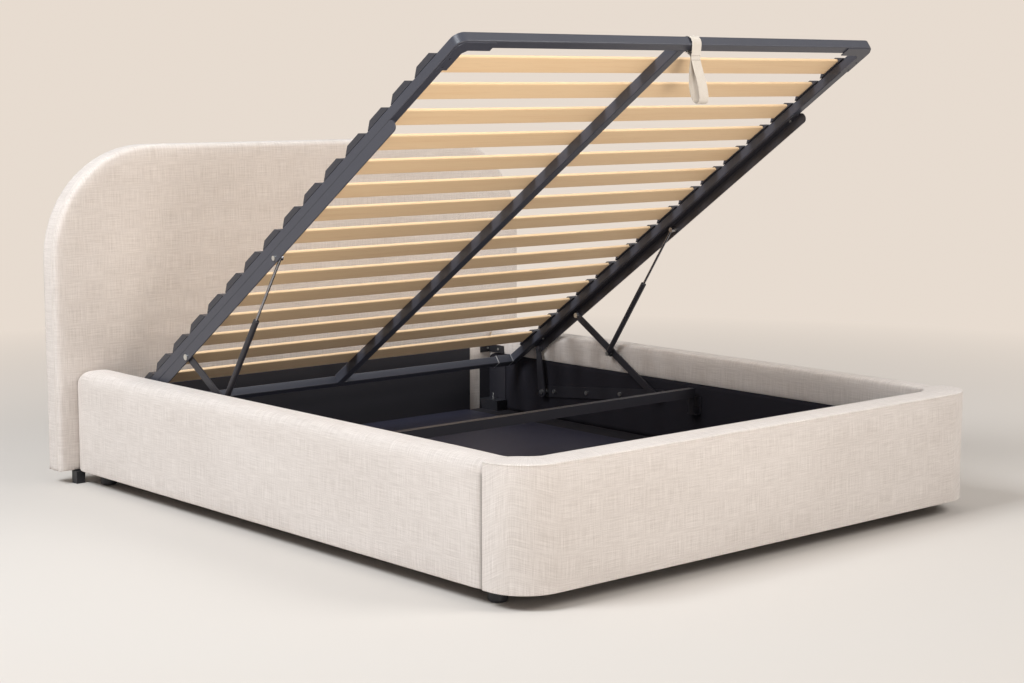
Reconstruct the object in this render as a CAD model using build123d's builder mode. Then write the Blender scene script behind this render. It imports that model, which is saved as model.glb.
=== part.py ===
from build123d import *
import math
import os

# Ottoman storage bed with its slatted platform held up by two gas struts.
# X runs across the bed, +Y points to the headboard and +Z is up, all in mm.

# Platform that carries the mattress
platform_length = 1962.0
platform_width = 1600.0
tube_width = 30.0
tube_height = 28.0
tube_wall = 1.5
tube_corner_radius = 3.0
centre_bar_width = 30.0
bar_corner_radius = 30.0
gusset_length = 120.0
gusset_thickness = 3.0
gusset_inset = 4.0
gusset_lip = 7.0
gusset_inner_cut = 12.0
sleeve_length = 70.0
sleeve_wall = 2.0
vent_diameter = 6.0
first_vent = 72.0
vent_step = 36.0

# Slats and their plastic end holders
slat_count = 15
slat_width = 68.0
slat_thickness = 9.0
slat_edge_radius = 3.0
first_slat_from_head = 153.0
last_slat_from_foot = 145.0
holder_floor = 3.0
holder_rise = 18.0
holder_base = 105.0
holder_top = 60.0
holder_lip = 6.0
holder_corner_radius = 3.0
slat_end_depth = 20.0

# Arms under the side tubes
arm_depth = 32.0
arm_thickness = 4.0
arm_start = 139.0
arm_end = 1630.0
arm_tip_radius = 14.0
arm_heel_radius = 14.0
flange_start = 187.0
flange_width = 28.0
flange_thickness = 2.5
flange_radius = 20.0
flange_screw_inset = 12.0
first_flange_screw = 200.0
last_flange_screw = 1580.0
flange_screw_head = 9.0
flange_screw_height = 3.0
flange_screw_shank = 5.0

# Space that the base leaves round the closed platform
head_gap = 28.5
foot_gap = 9.5
side_gap = 10.0
closed_height = 255.0
beam_gap = 3.5
band_gap = 7.0

# Upholstered base
ground_gap = 40.0
rail_height = 320.0
rail_thickness = 90.0
foot_thickness = 100.0
corner_radius = 117.0
corner_wrap = 142.0
inner_corner_radius = 54.0
board_thickness = 18.0
band_thickness = 4.0
top_pad = 25.0
skin = 3.0
top_edge_radius = 26.0
inner_edge_radius = 12.0
low_edge_radius = 4.0
rail_end_radius = 42.0
rail_end_plan_radius = 20.0
seam_radius = 13.0
crease_radius = 9.0

# Headboard
headboard_overhang = 57.5
headboard_top = 1055.0
headboard_depth = 76.0
headboard_radius = 355.0
front_pad = 20.0
band_pad = 12.0
back_cloth = 3.0
headboard_edge_radius = 18.0

# Storage lining and floor
lining_thickness = 2.0
floor_thickness = 4.0
floor_side_gap = 117.0
floor_bearing = 23.0
ledge_thickness = 16.0
end_panel_thickness = 8.0
end_panel_gap = 52.0
end_panel_height = 229.0

# Feet
leg_size = 30.0
leg_forward = 12.0
leg_inset = 5.0
foot_diameter = 50.0
foot_edge_radius = 6.0
foot_from_side = 65.0
foot_from_head = 80.0
foot_from_end = 155.0

# Lifting linkage, measured from the headboard face along the bed and up from the ground
short_pivot_along = 155.0
long_pivot_along = 398.0
pivot_drop = 20.0
rear_pivot_from_head = 313.0
rear_pivot_height = 151.0
front_pivot_from_head = 882.5
front_pivot_height = 203.0
lift_angle = 27.66

# Link bars and pivot pins
link_thickness = 5.0
long_link_width = 24.0
short_link_width = 36.0
short_link_top = 22.0
link_to_arm = 3.0
pin_diameter = 10.0
pin_head_diameter = 18.0
pin_head_height = 3.7
shoulder_diameter = 20.0
bolt_head_height = 4.0
running_fit = 0.05
side_play = 0.3
hole_fit = 0.1

# Base plates and their screws
plate_thickness = 4.0
plate_half_height = 20.0
plate_end = 24.0
screw_head_diameter = 14.0
screw_shank_diameter = 7.0
first_screw = 45.0
screw_step = 168.0
screw_count = 3

# Gas struts
strut_mount_along = 252.0
strut_mount_drop = 9.0
strut_stud_along = 967.0
strut_stud_drop = 18.5
strut_inset = 22.0
cylinder_diameter = 18.0
cylinder_bore = 15.0
cylinder_length = 305.0
cylinder_base = 20.0
guide_length = 18.0
rod_diameter = 8.0
piston_length = 10.0
piston_play = 0.15
eye_diameter = 16.0
eye_thickness = 9.0
stud_diameter = 8.0

# Cross beam, its hooks and the sockets on the rails
beam_height = 30.0
beam_depth = 25.0
beam_wall = 1.5
beam_from_head = 1050.0
beam_end_gap = 6.0
hook_width = 24.0
hook_thickness = 4.0
hook_drop = 56.0
socket_width = 44.0
socket_wall = 3.0
socket_height = 52.0
socket_play = 0.3

# Corner brackets at the head and the catches above them
bracket_thickness = 3.0
bracket_face_width = 50.0
bracket_side_width = 92.0
bracket_height = 180.0
bracket_foot_height = 38.0
bracket_foot_reach = 100.0
bracket_foot_taper = 9.0
bracket_pin_diameter = 6.0
bracket_pin_height = 24.0
catch_lift = 2.0
catch_height = 28.0
catch_face_width = 45.0
catch_face_depth = 6.0
catch_side_length = 87.0
catch_side_depth = 5.0
catch_face_screw = 13.0
catch_side_screw = 57.0
catch_screw_diameter = 9.0
catch_screw_height = 2.0

# Pull strap on the foot bar
strap_width = 36.0
strap_thickness = 2.5
strap_from_centre = 34.0
strap_play = 0.3
strap_neck = 34.0
strap_loop_length = 108.0
strap_loop_width = 40.0

overrun = 10.0

# Main places worked out from the sizes above
inner_half = platform_width / 2 + side_gap
inner_length = head_gap + platform_length + foot_gap
outer_half = inner_half + rail_thickness
headboard_width = 2 * (outer_half + headboard_overhang)
head_y = (inner_length + foot_thickness - headboard_depth) / 2
foot_inner_y = head_y - inner_length
foot_outer_y = foot_inner_y - foot_thickness
seam_y = foot_outer_y + corner_wrap
rail_top = ground_gap + rail_height
band_bottom = closed_height + band_gap
band_depth = rail_top - band_bottom
board_in = inner_half + band_thickness
board_out = board_in + board_thickness
board_bottom = ground_gap + skin
board_top = rail_top - top_pad
lining_in = board_in - lining_thickness
foot_board_in = foot_inner_y - band_thickness
foot_board_out = foot_board_in - board_thickness
ledge_top = ground_gap + ledge_thickness
tube_half = platform_width / 2
slat_span = platform_length - first_slat_from_head - last_slat_from_foot
slat_pitch = slat_span / (slat_count - 1)
slat_seat = tube_height + holder_floor

# Linkage worked out from its closed pose: the long link turns by lift_angle,
# and the short link and the arm between the two pivots follow from their lengths.
rear_pivot = (head_y - rear_pivot_from_head, rear_pivot_height)
front_pivot = (head_y - front_pivot_from_head, front_pivot_height)
closed_head = (head_y - head_gap, closed_height)
short_closed = (closed_head[0] - short_pivot_along, closed_height - pivot_drop)
long_closed = (closed_head[0] - long_pivot_along, closed_height - pivot_drop)


def distance(a, b):
    return math.hypot(b[0] - a[0], b[1] - a[1])


def heading(a, b):
    return math.atan2(b[1] - a[1], b[0] - a[0])


def step(start, length, angle):
    return (start[0] + length * math.cos(angle), start[1] + length * math.sin(angle))


long_length = distance(front_pivot, long_closed)
short_length = distance(rear_pivot, short_closed)
pivot_spacing = long_pivot_along - short_pivot_along
long_heading = heading(front_pivot, long_closed) + math.radians(lift_angle)
long_top = step(front_pivot, long_length, long_heading)
between = distance(rear_pivot, long_top)
short_corner = math.acos(
    (short_length**2 + between**2 - pivot_spacing**2) / (2 * short_length * between)
)
short_heading = heading(rear_pivot, long_top) - short_corner
short_top = step(rear_pivot, short_length, short_heading)
along = heading(short_top, long_top)
up = along - math.pi / 2
head_edge = step(step(short_top, -short_pivot_along, along), pivot_drop, up)


def on_platform(s, n):
    """Place s along the raised platform from its head edge, n above its underside."""
    return step(step(head_edge, s, along), n, up)


platform_plane = Plane(
    origin=(0, head_edge[0], head_edge[1]),
    x_dir=(1, 0, 0),
    z_dir=(0, math.cos(up), math.sin(up)),
)


def arm_plane(x):
    """Upright plane along the raised platform; it reads s and n and extrudes inwards."""
    return Plane(
        origin=(x, head_edge[0], head_edge[1]),
        x_dir=(0, math.cos(along), math.sin(along)),
        z_dir=(-1, 0, 0),
    )


def side_plane(x):
    """Upright plane along the bed that reads y and z and extrudes outwards."""
    return Plane(origin=(x, 0, 0), x_dir=(0, 1, 0), z_dir=(1, 0, 0))


def cross_plane(y):
    """Upright plane across the bed that reads x and z and extrudes to the foot."""
    return Plane(origin=(0, y, 0), x_dir=(1, 0, 0), z_dir=(0, -1, 0))


os.makedirs("parts", exist_ok=True)


def save(solid, name):
    solid.part.label = name
    export_step(solid.part, f"parts/{name}.step")


def save_pair(right, name):
    """Save the right-hand piece and its mirrored twin."""
    save(right, f"{name}_right")
    with BuildPart() as left:
        add(right.part)
        mirror(about=Plane.YZ, mode=Mode.REPLACE)
    save(left, f"{name}_left")


def save_both(right, name):
    """Save the right-hand piece and its mirrored twin as one node."""
    with BuildPart() as both:
        add(right.part)
        mirror(about=Plane.YZ)
    save(both, name)


def turned(place, steps):
    """Round piece on an axis along X: each step is a start, an end and a diameter."""
    with BuildPart() as piece:
        for start, end, diameter in steps:
            with BuildSketch(side_plane(start)):
                with Locations(place):
                    Circle(diameter / 2)
            extrude(amount=end - start)
    return piece


def gather(pieces):
    """Group of separate solids that share one node."""
    with BuildPart() as group:
        for piece in pieces:
            add(piece.part)
    return group


# Headboard: core board, padded front, side band and back cloth
def headboard_outline(inset):
    """Headboard seen from the front, drawn in by the inset, in the open sketch."""
    half = headboard_width / 2 - inset
    low = ground_gap + inset
    high = headboard_top - inset
    radius = headboard_radius - inset
    with BuildLine() as outline:
        Polyline((-half, high - radius), (-half, low), (half, low), (half, high - radius))
        RadiusArc((half, high - radius), (half - radius, high), -radius)
        Line((half - radius, high), (radius - half, high))
        RadiusArc((radius - half, high), (-half, high - radius), -radius)
    make_face(outline.edges())


board_front = head_y + front_pad
board_back = head_y + headboard_depth - back_cloth
with BuildPart() as headboard_front:
    with BuildSketch(cross_plane(board_front)):
        headboard_outline(0)
    extrude(amount=front_pad)
    front_edges = headboard_front.faces().sort_by(Axis.Y)[0].edges()
    fillet(front_edges, radius=headboard_edge_radius)
save(headboard_front, "headboard_front_pad")

with BuildPart() as headboard_core:
    with BuildSketch(cross_plane(board_back)):
        headboard_outline(band_pad)
    extrude(amount=board_back - board_front)
save(headboard_core, "headboard_core")

with BuildPart() as headboard_band:
    with BuildSketch(cross_plane(board_back)):
        headboard_outline(0)
    extrude(amount=board_back - board_front)
    with BuildSketch(cross_plane(board_back)):
        headboard_outline(band_pad)
    extrude(amount=board_back - board_front, mode=Mode.SUBTRACT)
save(headboard_band, "headboard_side_band")

with BuildPart() as headboard_back:
    with BuildSketch(cross_plane(head_y + headboard_depth)):
        headboard_outline(0)
    extrude(amount=back_cloth)
save(headboard_back, "headboard_back_cloth")

# Side rails: core board, padded cover and black lining
with BuildPart() as rail_core:
    with BuildSketch(cross_plane(head_y)):
        with Locations((board_in, board_bottom)):
            Rectangle(board_thickness, board_top - board_bottom, align=(Align.MIN, Align.MIN))
    extrude(amount=head_y - foot_board_in)
save_pair(rail_core, "rail_core")

with BuildPart() as rail_cover:
    with BuildSketch(cross_plane(head_y)):
        with BuildLine():
            Polyline(
                (inner_half, ground_gap),
                (outer_half, ground_gap),
                (outer_half, rail_top),
                (inner_half, rail_top),
                close=True,
            )
        make_face()
        outer_corners = vertices().sort_by(Axis.X)[2:].sort_by(Axis.Y)
        fillet(outer_corners[1], radius=top_edge_radius)
        fillet(outer_corners[0], radius=low_edge_radius)
        inner_top = vertices().sort_by(Axis.X)[:2].sort_by(Axis.Y)[1]
        fillet(inner_top, radius=inner_edge_radius)
    extrude(amount=head_y - seam_y)
    with BuildSketch(side_plane(inner_half - overrun)):
        with Locations((seam_y, ground_gap)):
            Rectangle(head_y - seam_y, rail_height, align=(Align.MIN, Align.MIN))
        head_corners = vertices().sort_by(Axis.X)[2:].sort_by(Axis.Y)
        fillet(head_corners[1], radius=rail_end_radius)
    extrude(amount=rail_thickness + 2 * overrun, mode=Mode.INTERSECT)
    with BuildSketch(Plane.XY.offset(ground_gap - overrun)):
        with Locations((inner_half, seam_y)):
            Rectangle(rail_thickness, head_y - seam_y, align=(Align.MIN, Align.MIN))
        side_corners = vertices().sort_by(Axis.X)[2:].sort_by(Axis.Y)
        fillet(side_corners[0], radius=seam_radius)
        fillet(vertices().sort_by(Axis.X)[-1:], radius=rail_end_plan_radius)
    extrude(amount=rail_height + 2 * overrun, mode=Mode.INTERSECT)
    with BuildSketch(cross_plane(head_y + overrun)):
        with Locations((board_in, board_bottom)):
            Rectangle(board_thickness, board_top - board_bottom, align=(Align.MIN, Align.MIN))
        with Locations((board_in, ground_gap - overrun)):
            Rectangle(
                band_thickness + overrun,
                band_bottom - ground_gap + overrun,
                align=(Align.MAX, Align.MIN),
            )
    extrude(amount=head_y - seam_y + 2 * overrun, mode=Mode.SUBTRACT)
save_pair(rail_cover, "rail_cover")

with BuildPart() as rail_lining:
    with BuildSketch(cross_plane(head_y)):
        with Locations((lining_in, ledge_top)):
            Rectangle(lining_thickness, band_bottom - ledge_top, align=(Align.MIN, Align.MIN))
    extrude(amount=head_y - foot_board_in)
save_pair(rail_lining, "rail_lining")

# Foot end: core board, padded cover round both corners and black lining
with BuildPart() as foot_core:
    with BuildSketch(cross_plane(foot_board_in)):
        with Locations((0, board_bottom)):
            Rectangle(2 * board_out, board_top - board_bottom, align=(Align.CENTER, Align.MIN))
    extrude(amount=board_thickness)
save(foot_core, "foot_core")

with BuildPart() as foot_cover:
    with BuildSketch(Plane.XY.offset(ground_gap)):
        with Locations((0, foot_outer_y)):
            Rectangle(2 * outer_half, corner_wrap, align=(Align.CENTER, Align.MIN))
        fillet(vertices().sort_by(Axis.Y)[2:], radius=seam_radius)
    extrude(amount=rail_height)
    with BuildSketch(Plane.XY.offset(ground_gap - overrun)):
        with Locations((0, foot_outer_y)):
            Rectangle(2 * outer_half, 2 * corner_wrap, align=(Align.CENTER, Align.MIN))
        fillet(vertices().sort_by(Axis.Y)[:2], radius=corner_radius)
    extrude(amount=rail_height + 2 * overrun, mode=Mode.INTERSECT)
    rim = foot_cover.faces().sort_by(Axis.Z)[-1].edges()
    outer_rim = rim.filter_by(lambda edge: (edge @ 0.5).Y < seam_y - seam_radius / 2)
    fillet(outer_rim, radius=crease_radius)
    with BuildSketch(Plane.XY.offset(band_bottom)):
        with Locations((0, foot_inner_y)):
            Rectangle(2 * inner_half, inner_length, align=(Align.CENTER, Align.MIN))
        fillet(vertices().sort_by(Axis.Y)[:2], radius=inner_corner_radius)
    extrude(amount=band_depth + overrun, mode=Mode.SUBTRACT)
    with BuildSketch(Plane.XY.offset(ground_gap - overrun)):
        with Locations((0, foot_board_in)):
            Rectangle(2 * board_in, inner_length, align=(Align.CENTER, Align.MIN))
    extrude(amount=band_bottom - ground_gap + overrun, mode=Mode.SUBTRACT)
    with BuildSketch(Plane.XY.offset(board_bottom)):
        with Locations((0, foot_board_out)):
            Rectangle(2 * board_out, board_thickness, align=(Align.CENTER, Align.MIN))
        with Locations((board_in, foot_board_in)):
            Rectangle(board_thickness, corner_wrap, align=(Align.MIN, Align.MIN))
        with Locations((-board_in, foot_board_in)):
            Rectangle(board_thickness, corner_wrap, align=(Align.MAX, Align.MIN))
    extrude(amount=board_top - board_bottom, mode=Mode.SUBTRACT)
save(foot_cover, "foot_cover")

with BuildPart() as foot_lining:
    with BuildSketch(cross_plane(foot_board_in + lining_thickness)):
        with Locations((0, ledge_top)):
            Rectangle(2 * lining_in, band_bottom - ledge_top, align=(Align.CENTER, Align.MIN))
    extrude(amount=lining_thickness)
save(foot_lining, "foot_lining")

# Storage floor on its ledges, and the black panel at the head
floor_foot_y = foot_board_in + lining_thickness + floor_side_gap
floor_head_y = head_y - end_panel_thickness
floor_middle_y = (floor_head_y + floor_foot_y) / 2
floor_half = lining_in - floor_side_gap
ledge_width = board_in - floor_half + floor_bearing
for name, start_y, end_y in (
    ("floor_board_head", floor_middle_y, floor_head_y),
    ("floor_board_foot", floor_foot_y, floor_middle_y),
):
    with BuildPart() as floor_board:
        with BuildSketch(Plane.XY.offset(ledge_top)):
            with Locations((0, start_y)):
                Rectangle(2 * floor_half, end_y - start_y, align=(Align.CENTER, Align.MIN))
        extrude(amount=floor_thickness)
    save(floor_board, name)

with BuildPart() as side_ledge:
    with BuildSketch(Plane.XY.offset(ground_gap)):
        with Locations((board_in, foot_board_in)):
            Rectangle(ledge_width, head_y - foot_board_in, align=(Align.MAX, Align.MIN))
    extrude(amount=ledge_thickness)
save_pair(side_ledge, "floor_ledge")

with BuildPart() as cross_ledges:
    ledge_span = 2 * (board_in - ledge_width)
    with BuildSketch(Plane.XY.offset(ground_gap)):
        with Locations(
            (0, foot_board_in),
            (0, floor_middle_y - ledge_width / 2),
            (0, head_y - ledge_width),
        ):
            Rectangle(ledge_span, ledge_width, align=(Align.CENTER, Align.MIN))
    extrude(amount=ledge_thickness)
save(cross_ledges, "floor_cross_ledges")

with BuildPart() as end_panel:
    end_panel_half = lining_in - bracket_face_width - end_panel_gap
    with BuildSketch(cross_plane(head_y)):
        with Locations((0, ledge_top)):
            Rectangle(2 * end_panel_half, end_panel_height, align=(Align.CENTER, Align.MIN))
    extrude(amount=end_panel_thickness)
save(end_panel, "storage_head_panel")

# Feet
with BuildPart() as headboard_legs:
    leg_x = outer_half - leg_inset
    for side in (-1, 1):
        with BuildSketch(Plane.XY):
            with Locations((side * leg_x, head_y - leg_forward + leg_size / 2)):
                Rectangle(leg_size, leg_size)
    extrude(amount=ground_gap)
save(headboard_legs, "headboard_legs")

with BuildPart() as rail_feet:
    foot_x = outer_half - foot_from_side
    with BuildSketch(Plane.XY):
        for side in (-1, 1):
            with Locations(
                (side * foot_x, head_y - foot_from_head),
                (side * foot_x, foot_outer_y + foot_from_end),
            ):
                Circle(foot_diameter / 2)
    extrude(amount=ground_gap)
    fillet(rail_feet.edges().group_by(Axis.Z)[0], radius=foot_edge_radius)
save(rail_feet, "rail_feet")

# Corner brackets at the head, each with a bolt on its foot
with BuildPart() as head_bracket:
    with BuildSketch(cross_plane(head_y)):
        with Locations((lining_in, ledge_top)):
            Rectangle(bracket_face_width, bracket_height, align=(Align.MAX, Align.MIN))
    extrude(amount=bracket_thickness)
    with BuildSketch(cross_plane(head_y)):
        with Locations((lining_in, ledge_top)):
            Rectangle(bracket_thickness, bracket_height, align=(Align.MAX, Align.MIN))
    extrude(amount=bracket_side_width)
save_pair(head_bracket, "head_bracket")

foot_width = bracket_face_width - bracket_thickness
foot_reach = bracket_foot_reach - bracket_thickness
foot_middle = (
    lining_in - bracket_thickness - foot_width / 2,
    head_y - bracket_thickness - foot_reach / 2,
)
with BuildPart() as bracket_foot:
    with BuildSketch(Plane.XY.offset(ledge_top + bracket_foot_height)):
        with Locations(foot_middle):
            Rectangle(foot_width, foot_reach)
    extrude(amount=-bracket_foot_height, taper=bracket_foot_taper)
    with BuildSketch(Plane.XY.offset(ledge_top + bracket_foot_height)):
        with Locations(foot_middle):
            Circle(bracket_pin_diameter / 2)
    extrude(amount=bracket_pin_height)
save_both(bracket_foot, "bracket_feet")

# Plastic catches in the head corners of the fabric band
catch_bottom = band_bottom + catch_lift
catch_middle = catch_bottom + catch_height / 2
with BuildPart() as head_catch:
    with BuildSketch(cross_plane(head_y)):
        with Locations((inner_half, catch_bottom)):
            Rectangle(catch_face_width, catch_height, align=(Align.MAX, Align.MIN))
    extrude(amount=catch_face_depth)
    with BuildSketch(cross_plane(head_y)):
        with Locations((inner_half, catch_bottom)):
            Rectangle(catch_side_depth, catch_height, align=(Align.MAX, Align.MIN))
    extrude(amount=catch_side_length)
    with BuildSketch(cross_plane(head_y - catch_face_depth)):
        with Locations((inner_half - catch_face_screw, catch_middle)):
            Circle(catch_screw_diameter / 2)
    extrude(amount=catch_screw_height)
    with BuildSketch(side_plane(inner_half - catch_side_depth)):
        with Locations((head_y - catch_side_screw, catch_middle)):
            Circle(catch_screw_diameter / 2)
    extrude(amount=-catch_screw_height)
save_both(head_catch, "head_catches")

# Cross beam with a hooked plate at each end, hung in sockets on the rails
beam_top = closed_height - beam_gap
beam_bottom = beam_top - beam_height
beam_y = head_y - beam_from_head
arm_in = tube_half - arm_thickness
beam_half = arm_in - beam_end_gap
with BuildPart() as cross_beam:
    with BuildSketch(side_plane(-beam_half)):
        with Locations((beam_y, beam_bottom)):
            Rectangle(beam_depth, beam_height, align=(Align.CENTER, Align.MIN))
        with Locations((beam_y, beam_bottom + beam_wall)):
            Rectangle(
                beam_depth - 2 * beam_wall,
                beam_height - 2 * beam_wall,
                align=(Align.CENTER, Align.MIN),
                mode=Mode.SUBTRACT,
            )
    extrude(amount=2 * beam_half)
save(cross_beam, "cross_beam")

hook_in = beam_half - hook_thickness
socket_top = closed_height - arm_depth - beam_gap
hook_out = lining_in - socket_wall - socket_play
lip_top = beam_bottom - hook_drop + hook_width
with BuildPart() as beam_hook:
    with BuildSketch(Plane.XZ.offset(hook_width / 2 - beam_y)):
        with BuildLine():
            Polyline(
                (hook_in, beam_bottom),
                (hook_in, beam_bottom - hook_drop),
                (hook_out, beam_bottom - hook_drop),
                (hook_out, lip_top),
                (hook_out - hook_thickness, lip_top),
                (hook_out - hook_thickness, beam_bottom - hook_drop + hook_thickness),
                (beam_half, beam_bottom - hook_drop + hook_thickness),
                (beam_half, beam_bottom),
                close=True,
            )
        make_face()
    extrude(amount=-hook_width)
save_both(beam_hook, "beam_hooks")

with BuildPart() as beam_socket:
    with BuildSketch(side_plane(lining_in - socket_wall)):
        with Locations((beam_y, socket_top)):
            Rectangle(socket_width, socket_height, align=(Align.CENTER, Align.MAX))
    extrude(amount=socket_wall)
    hook_floor = beam_bottom - hook_drop
    with BuildSketch(side_plane(beam_half)):
        with Locations((beam_y, hook_floor)):
            Rectangle(socket_width, socket_wall, align=(Align.CENTER, Align.MAX))
        with Locations(
            (beam_y - hook_width / 2 - socket_play, hook_floor - socket_wall),
        ):
            Rectangle(socket_wall, hook_width + socket_wall, align=(Align.MAX, Align.MIN))
        with Locations(
            (beam_y + hook_width / 2 + socket_play, hook_floor - socket_wall),
        ):
            Rectangle(socket_wall, hook_width + socket_wall, align=(Align.MIN, Align.MIN))
    extrude(amount=lining_in - beam_half)
save_both(beam_socket, "beam_sockets")

# Lifting base plate on each rail, its screws and its two pivot pins
plate_in = lining_in - plate_thickness
link_out = arm_in - link_to_arm
link_in = link_out - link_thickness
plate_heading = heading(front_pivot, rear_pivot)
plate_length = distance(front_pivot, rear_pivot)
screw_places = [
    step(rear_pivot, -(first_screw + screw_step * index), plate_heading)
    for index in range(screw_count)
]
with BuildPart() as base_plate:
    middle = step(front_pivot, plate_length / 2, plate_heading)
    with BuildSketch(side_plane(plate_in)):
        with Locations(Location((middle[0], middle[1]), math.degrees(plate_heading))):
            RectangleRounded(
                plate_length + 2 * plate_end, 2 * plate_half_height, plate_half_height / 2
            )
        with Locations(*screw_places):
            Circle(screw_shank_diameter / 2 + hole_fit, mode=Mode.SUBTRACT)
    extrude(amount=plate_thickness)
save_pair(base_plate, "base_plate")

screw_steps = (
    (plate_in - bolt_head_height, plate_in, screw_head_diameter),
    (plate_in, lining_in, screw_shank_diameter),
)
plate_screws = gather([turned(place, screw_steps) for place in screw_places])
save_both(plate_screws, "plate_screws")

inner_head = (
    link_in - side_play - pin_head_height,
    link_in - side_play,
    pin_head_diameter,
)
link_pin = (link_in - side_play, link_out + side_play, pin_diameter)
base_pivot_steps = (
    (link_out + side_play, plate_in, shoulder_diameter),
    link_pin,
    inner_head,
)
base_pivots = gather([turned(place, base_pivot_steps) for place in (rear_pivot, front_pivot)])
save_both(base_pivots, "base_pivots")


# Links
def link_bar(start, end, start_width, end_width, holes):
    """Flat bar between two pivots with rounded ends and round holes."""
    length = distance(start, end)
    turn = heading(start, end)
    plane = Plane(
        origin=(link_in, start[0], start[1]),
        x_dir=(0, math.cos(turn), math.sin(turn)),
        z_dir=(1, 0, 0),
    )
    lean = math.asin((start_width - end_width) / 2 / length)
    start_edge = (
        start_width / 2 * math.sin(lean),
        start_width / 2 * math.cos(lean),
    )
    end_edge = (
        length + end_width / 2 * math.sin(lean),
        end_width / 2 * math.cos(lean),
    )
    with BuildPart() as bar:
        with BuildSketch(plane):
            with BuildLine():
                Line(start_edge, end_edge)
                ThreePointArc(
                    end_edge, (length + end_width / 2, 0), (end_edge[0], -end_edge[1])
                )
                Line((end_edge[0], -end_edge[1]), (start_edge[0], -start_edge[1]))
                ThreePointArc(
                    (start_edge[0], -start_edge[1]), (-start_width / 2, 0), start_edge
                )
            make_face()
            for place, diameter in holes:
                with Locations(place):
                    Circle(diameter / 2, mode=Mode.SUBTRACT)
        extrude(amount=link_thickness)
    return bar


pivot_hole = pin_diameter + 2 * running_fit
strut_mount = step(
    step(front_pivot, strut_mount_along, long_heading),
    -strut_mount_drop,
    long_heading + math.pi / 2,
)
link_holes = (((0, 0), pivot_hole), ((long_length, 0), pivot_hole))
long_bar = link_bar(front_pivot, long_top, long_link_width, long_link_width, link_holes)
with BuildPart() as long_link:
    add(long_bar.part)
    with BuildSketch(side_plane(link_in)):
        with Locations(strut_mount):
            Circle(long_link_width / 2)
    extrude(amount=link_thickness)
    with BuildSketch(side_plane(link_in - overrun)):
        with Locations(strut_mount):
            Circle(stud_diameter / 2 + hole_fit)
    extrude(amount=link_thickness + 2 * overrun, mode=Mode.SUBTRACT)
save_pair(long_link, "long_link")

short_bar = link_bar(
    rear_pivot, short_top, short_link_width, short_link_top, (((0, 0), pivot_hole),)
)
with BuildPart() as short_link:
    add(short_bar.part)
    with BuildSketch(side_plane(link_in - pin_head_height)):
        with Locations(short_top):
            Circle(pin_head_diameter / 2)
    extrude(amount=pin_head_height)
save_pair(short_link, "short_link")

# Stud on the long link that carries the lower end of the strut
strut_x = tube_half - strut_inset
eye_in = strut_x - eye_thickness / 2
eye_out = strut_x + eye_thickness / 2
link_stud = turned(
    strut_mount,
    (
        (link_out, link_out + link_to_arm - 2 * side_play, screw_head_diameter),
        (link_in, link_out, stud_diameter),
        (eye_out + side_play, link_in, screw_head_diameter),
        (eye_in - side_play, eye_out + side_play, stud_diameter),
        (eye_in - side_play - pin_head_height, eye_in - side_play, screw_head_diameter),
    ),
)
save_pair(link_stud, "strut_stud")

# Gas strut: cylinder on the long link, rod up to the stud on the arm
strut_top = on_platform(strut_stud_along, -strut_stud_drop)
strut_length = distance(strut_mount, strut_top)
strut_heading = heading(strut_mount, strut_top)
strut_axis = Plane(
    origin=(strut_x, strut_mount[0], strut_mount[1]),
    x_dir=(1, 0, 0),
    z_dir=(0, math.cos(strut_heading), math.sin(strut_heading)),
)
bore_start = eye_diameter / 2 + cylinder_base
bore_end = cylinder_length - guide_length
with BuildPart() as cylinder:
    with BuildSketch(strut_axis.offset(eye_diameter / 2)):
        Circle(cylinder_diameter / 2)
    extrude(amount=cylinder_length - eye_diameter / 2)
    with BuildSketch(side_plane(eye_in)):
        with Locations(strut_mount):
            Circle(eye_diameter / 2)
    extrude(amount=eye_thickness)
    with BuildSketch(strut_axis):
        Rectangle(eye_thickness, cylinder_diameter / 2)
    extrude(amount=eye_diameter)
    with BuildSketch(side_plane(eye_in - overrun)):
        with Locations(strut_mount):
            Circle(stud_diameter / 2 + running_fit)
    extrude(amount=eye_thickness + 2 * overrun, mode=Mode.SUBTRACT)
    with BuildSketch(strut_axis.offset(bore_start)):
        Circle(cylinder_bore / 2)
    extrude(amount=bore_end - bore_start, mode=Mode.SUBTRACT)
    with BuildSketch(strut_axis.offset(bore_end)):
        Circle(rod_diameter / 2 + running_fit)
    extrude(amount=guide_length + overrun, mode=Mode.SUBTRACT)
save_pair(cylinder, "strut_cylinder")

with BuildPart() as rod:
    with BuildSketch(strut_axis.offset(bore_end - 2 * piston_length)):
        Circle(cylinder_bore / 2 - piston_play)
    extrude(amount=piston_length)
    with BuildSketch(strut_axis.offset(bore_end - piston_length)):
        Circle(rod_diameter / 2)
    extrude(amount=strut_length - bore_end + piston_length)
    with BuildSketch(side_plane(eye_in)):
        with Locations(strut_top):
            Circle(eye_diameter / 2)
    extrude(amount=eye_thickness)
save_pair(rod, "strut_rod")


# Platform frame of steel tube
def tube_plane(x, s, n):
    """Plane across a tube that runs along the platform to the foot."""
    return Plane(
        origin=(x, *on_platform(s, n)),
        x_dir=(1, 0, 0),
        z_dir=(0, math.cos(along), math.sin(along)),
    )


def cross_tube_plane(x, s, n):
    """Plane across a tube that runs across the platform to the right."""
    return Plane(
        origin=(x, *on_platform(s, n)),
        x_dir=(0, math.cos(along), math.sin(along)),
        z_dir=(1, 0, 0),
    )


def box_tube(plane, width, height, length, wall):
    """Straight hollow tube with rounded corners and open ends."""
    with BuildPart() as tube:
        with BuildSketch(plane):
            RectangleRounded(width, height, tube_corner_radius)
            RectangleRounded(
                width - 2 * wall,
                height - 2 * wall,
                tube_corner_radius - wall,
                mode=Mode.SUBTRACT,
            )
        extrude(amount=length)
    return tube


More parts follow.
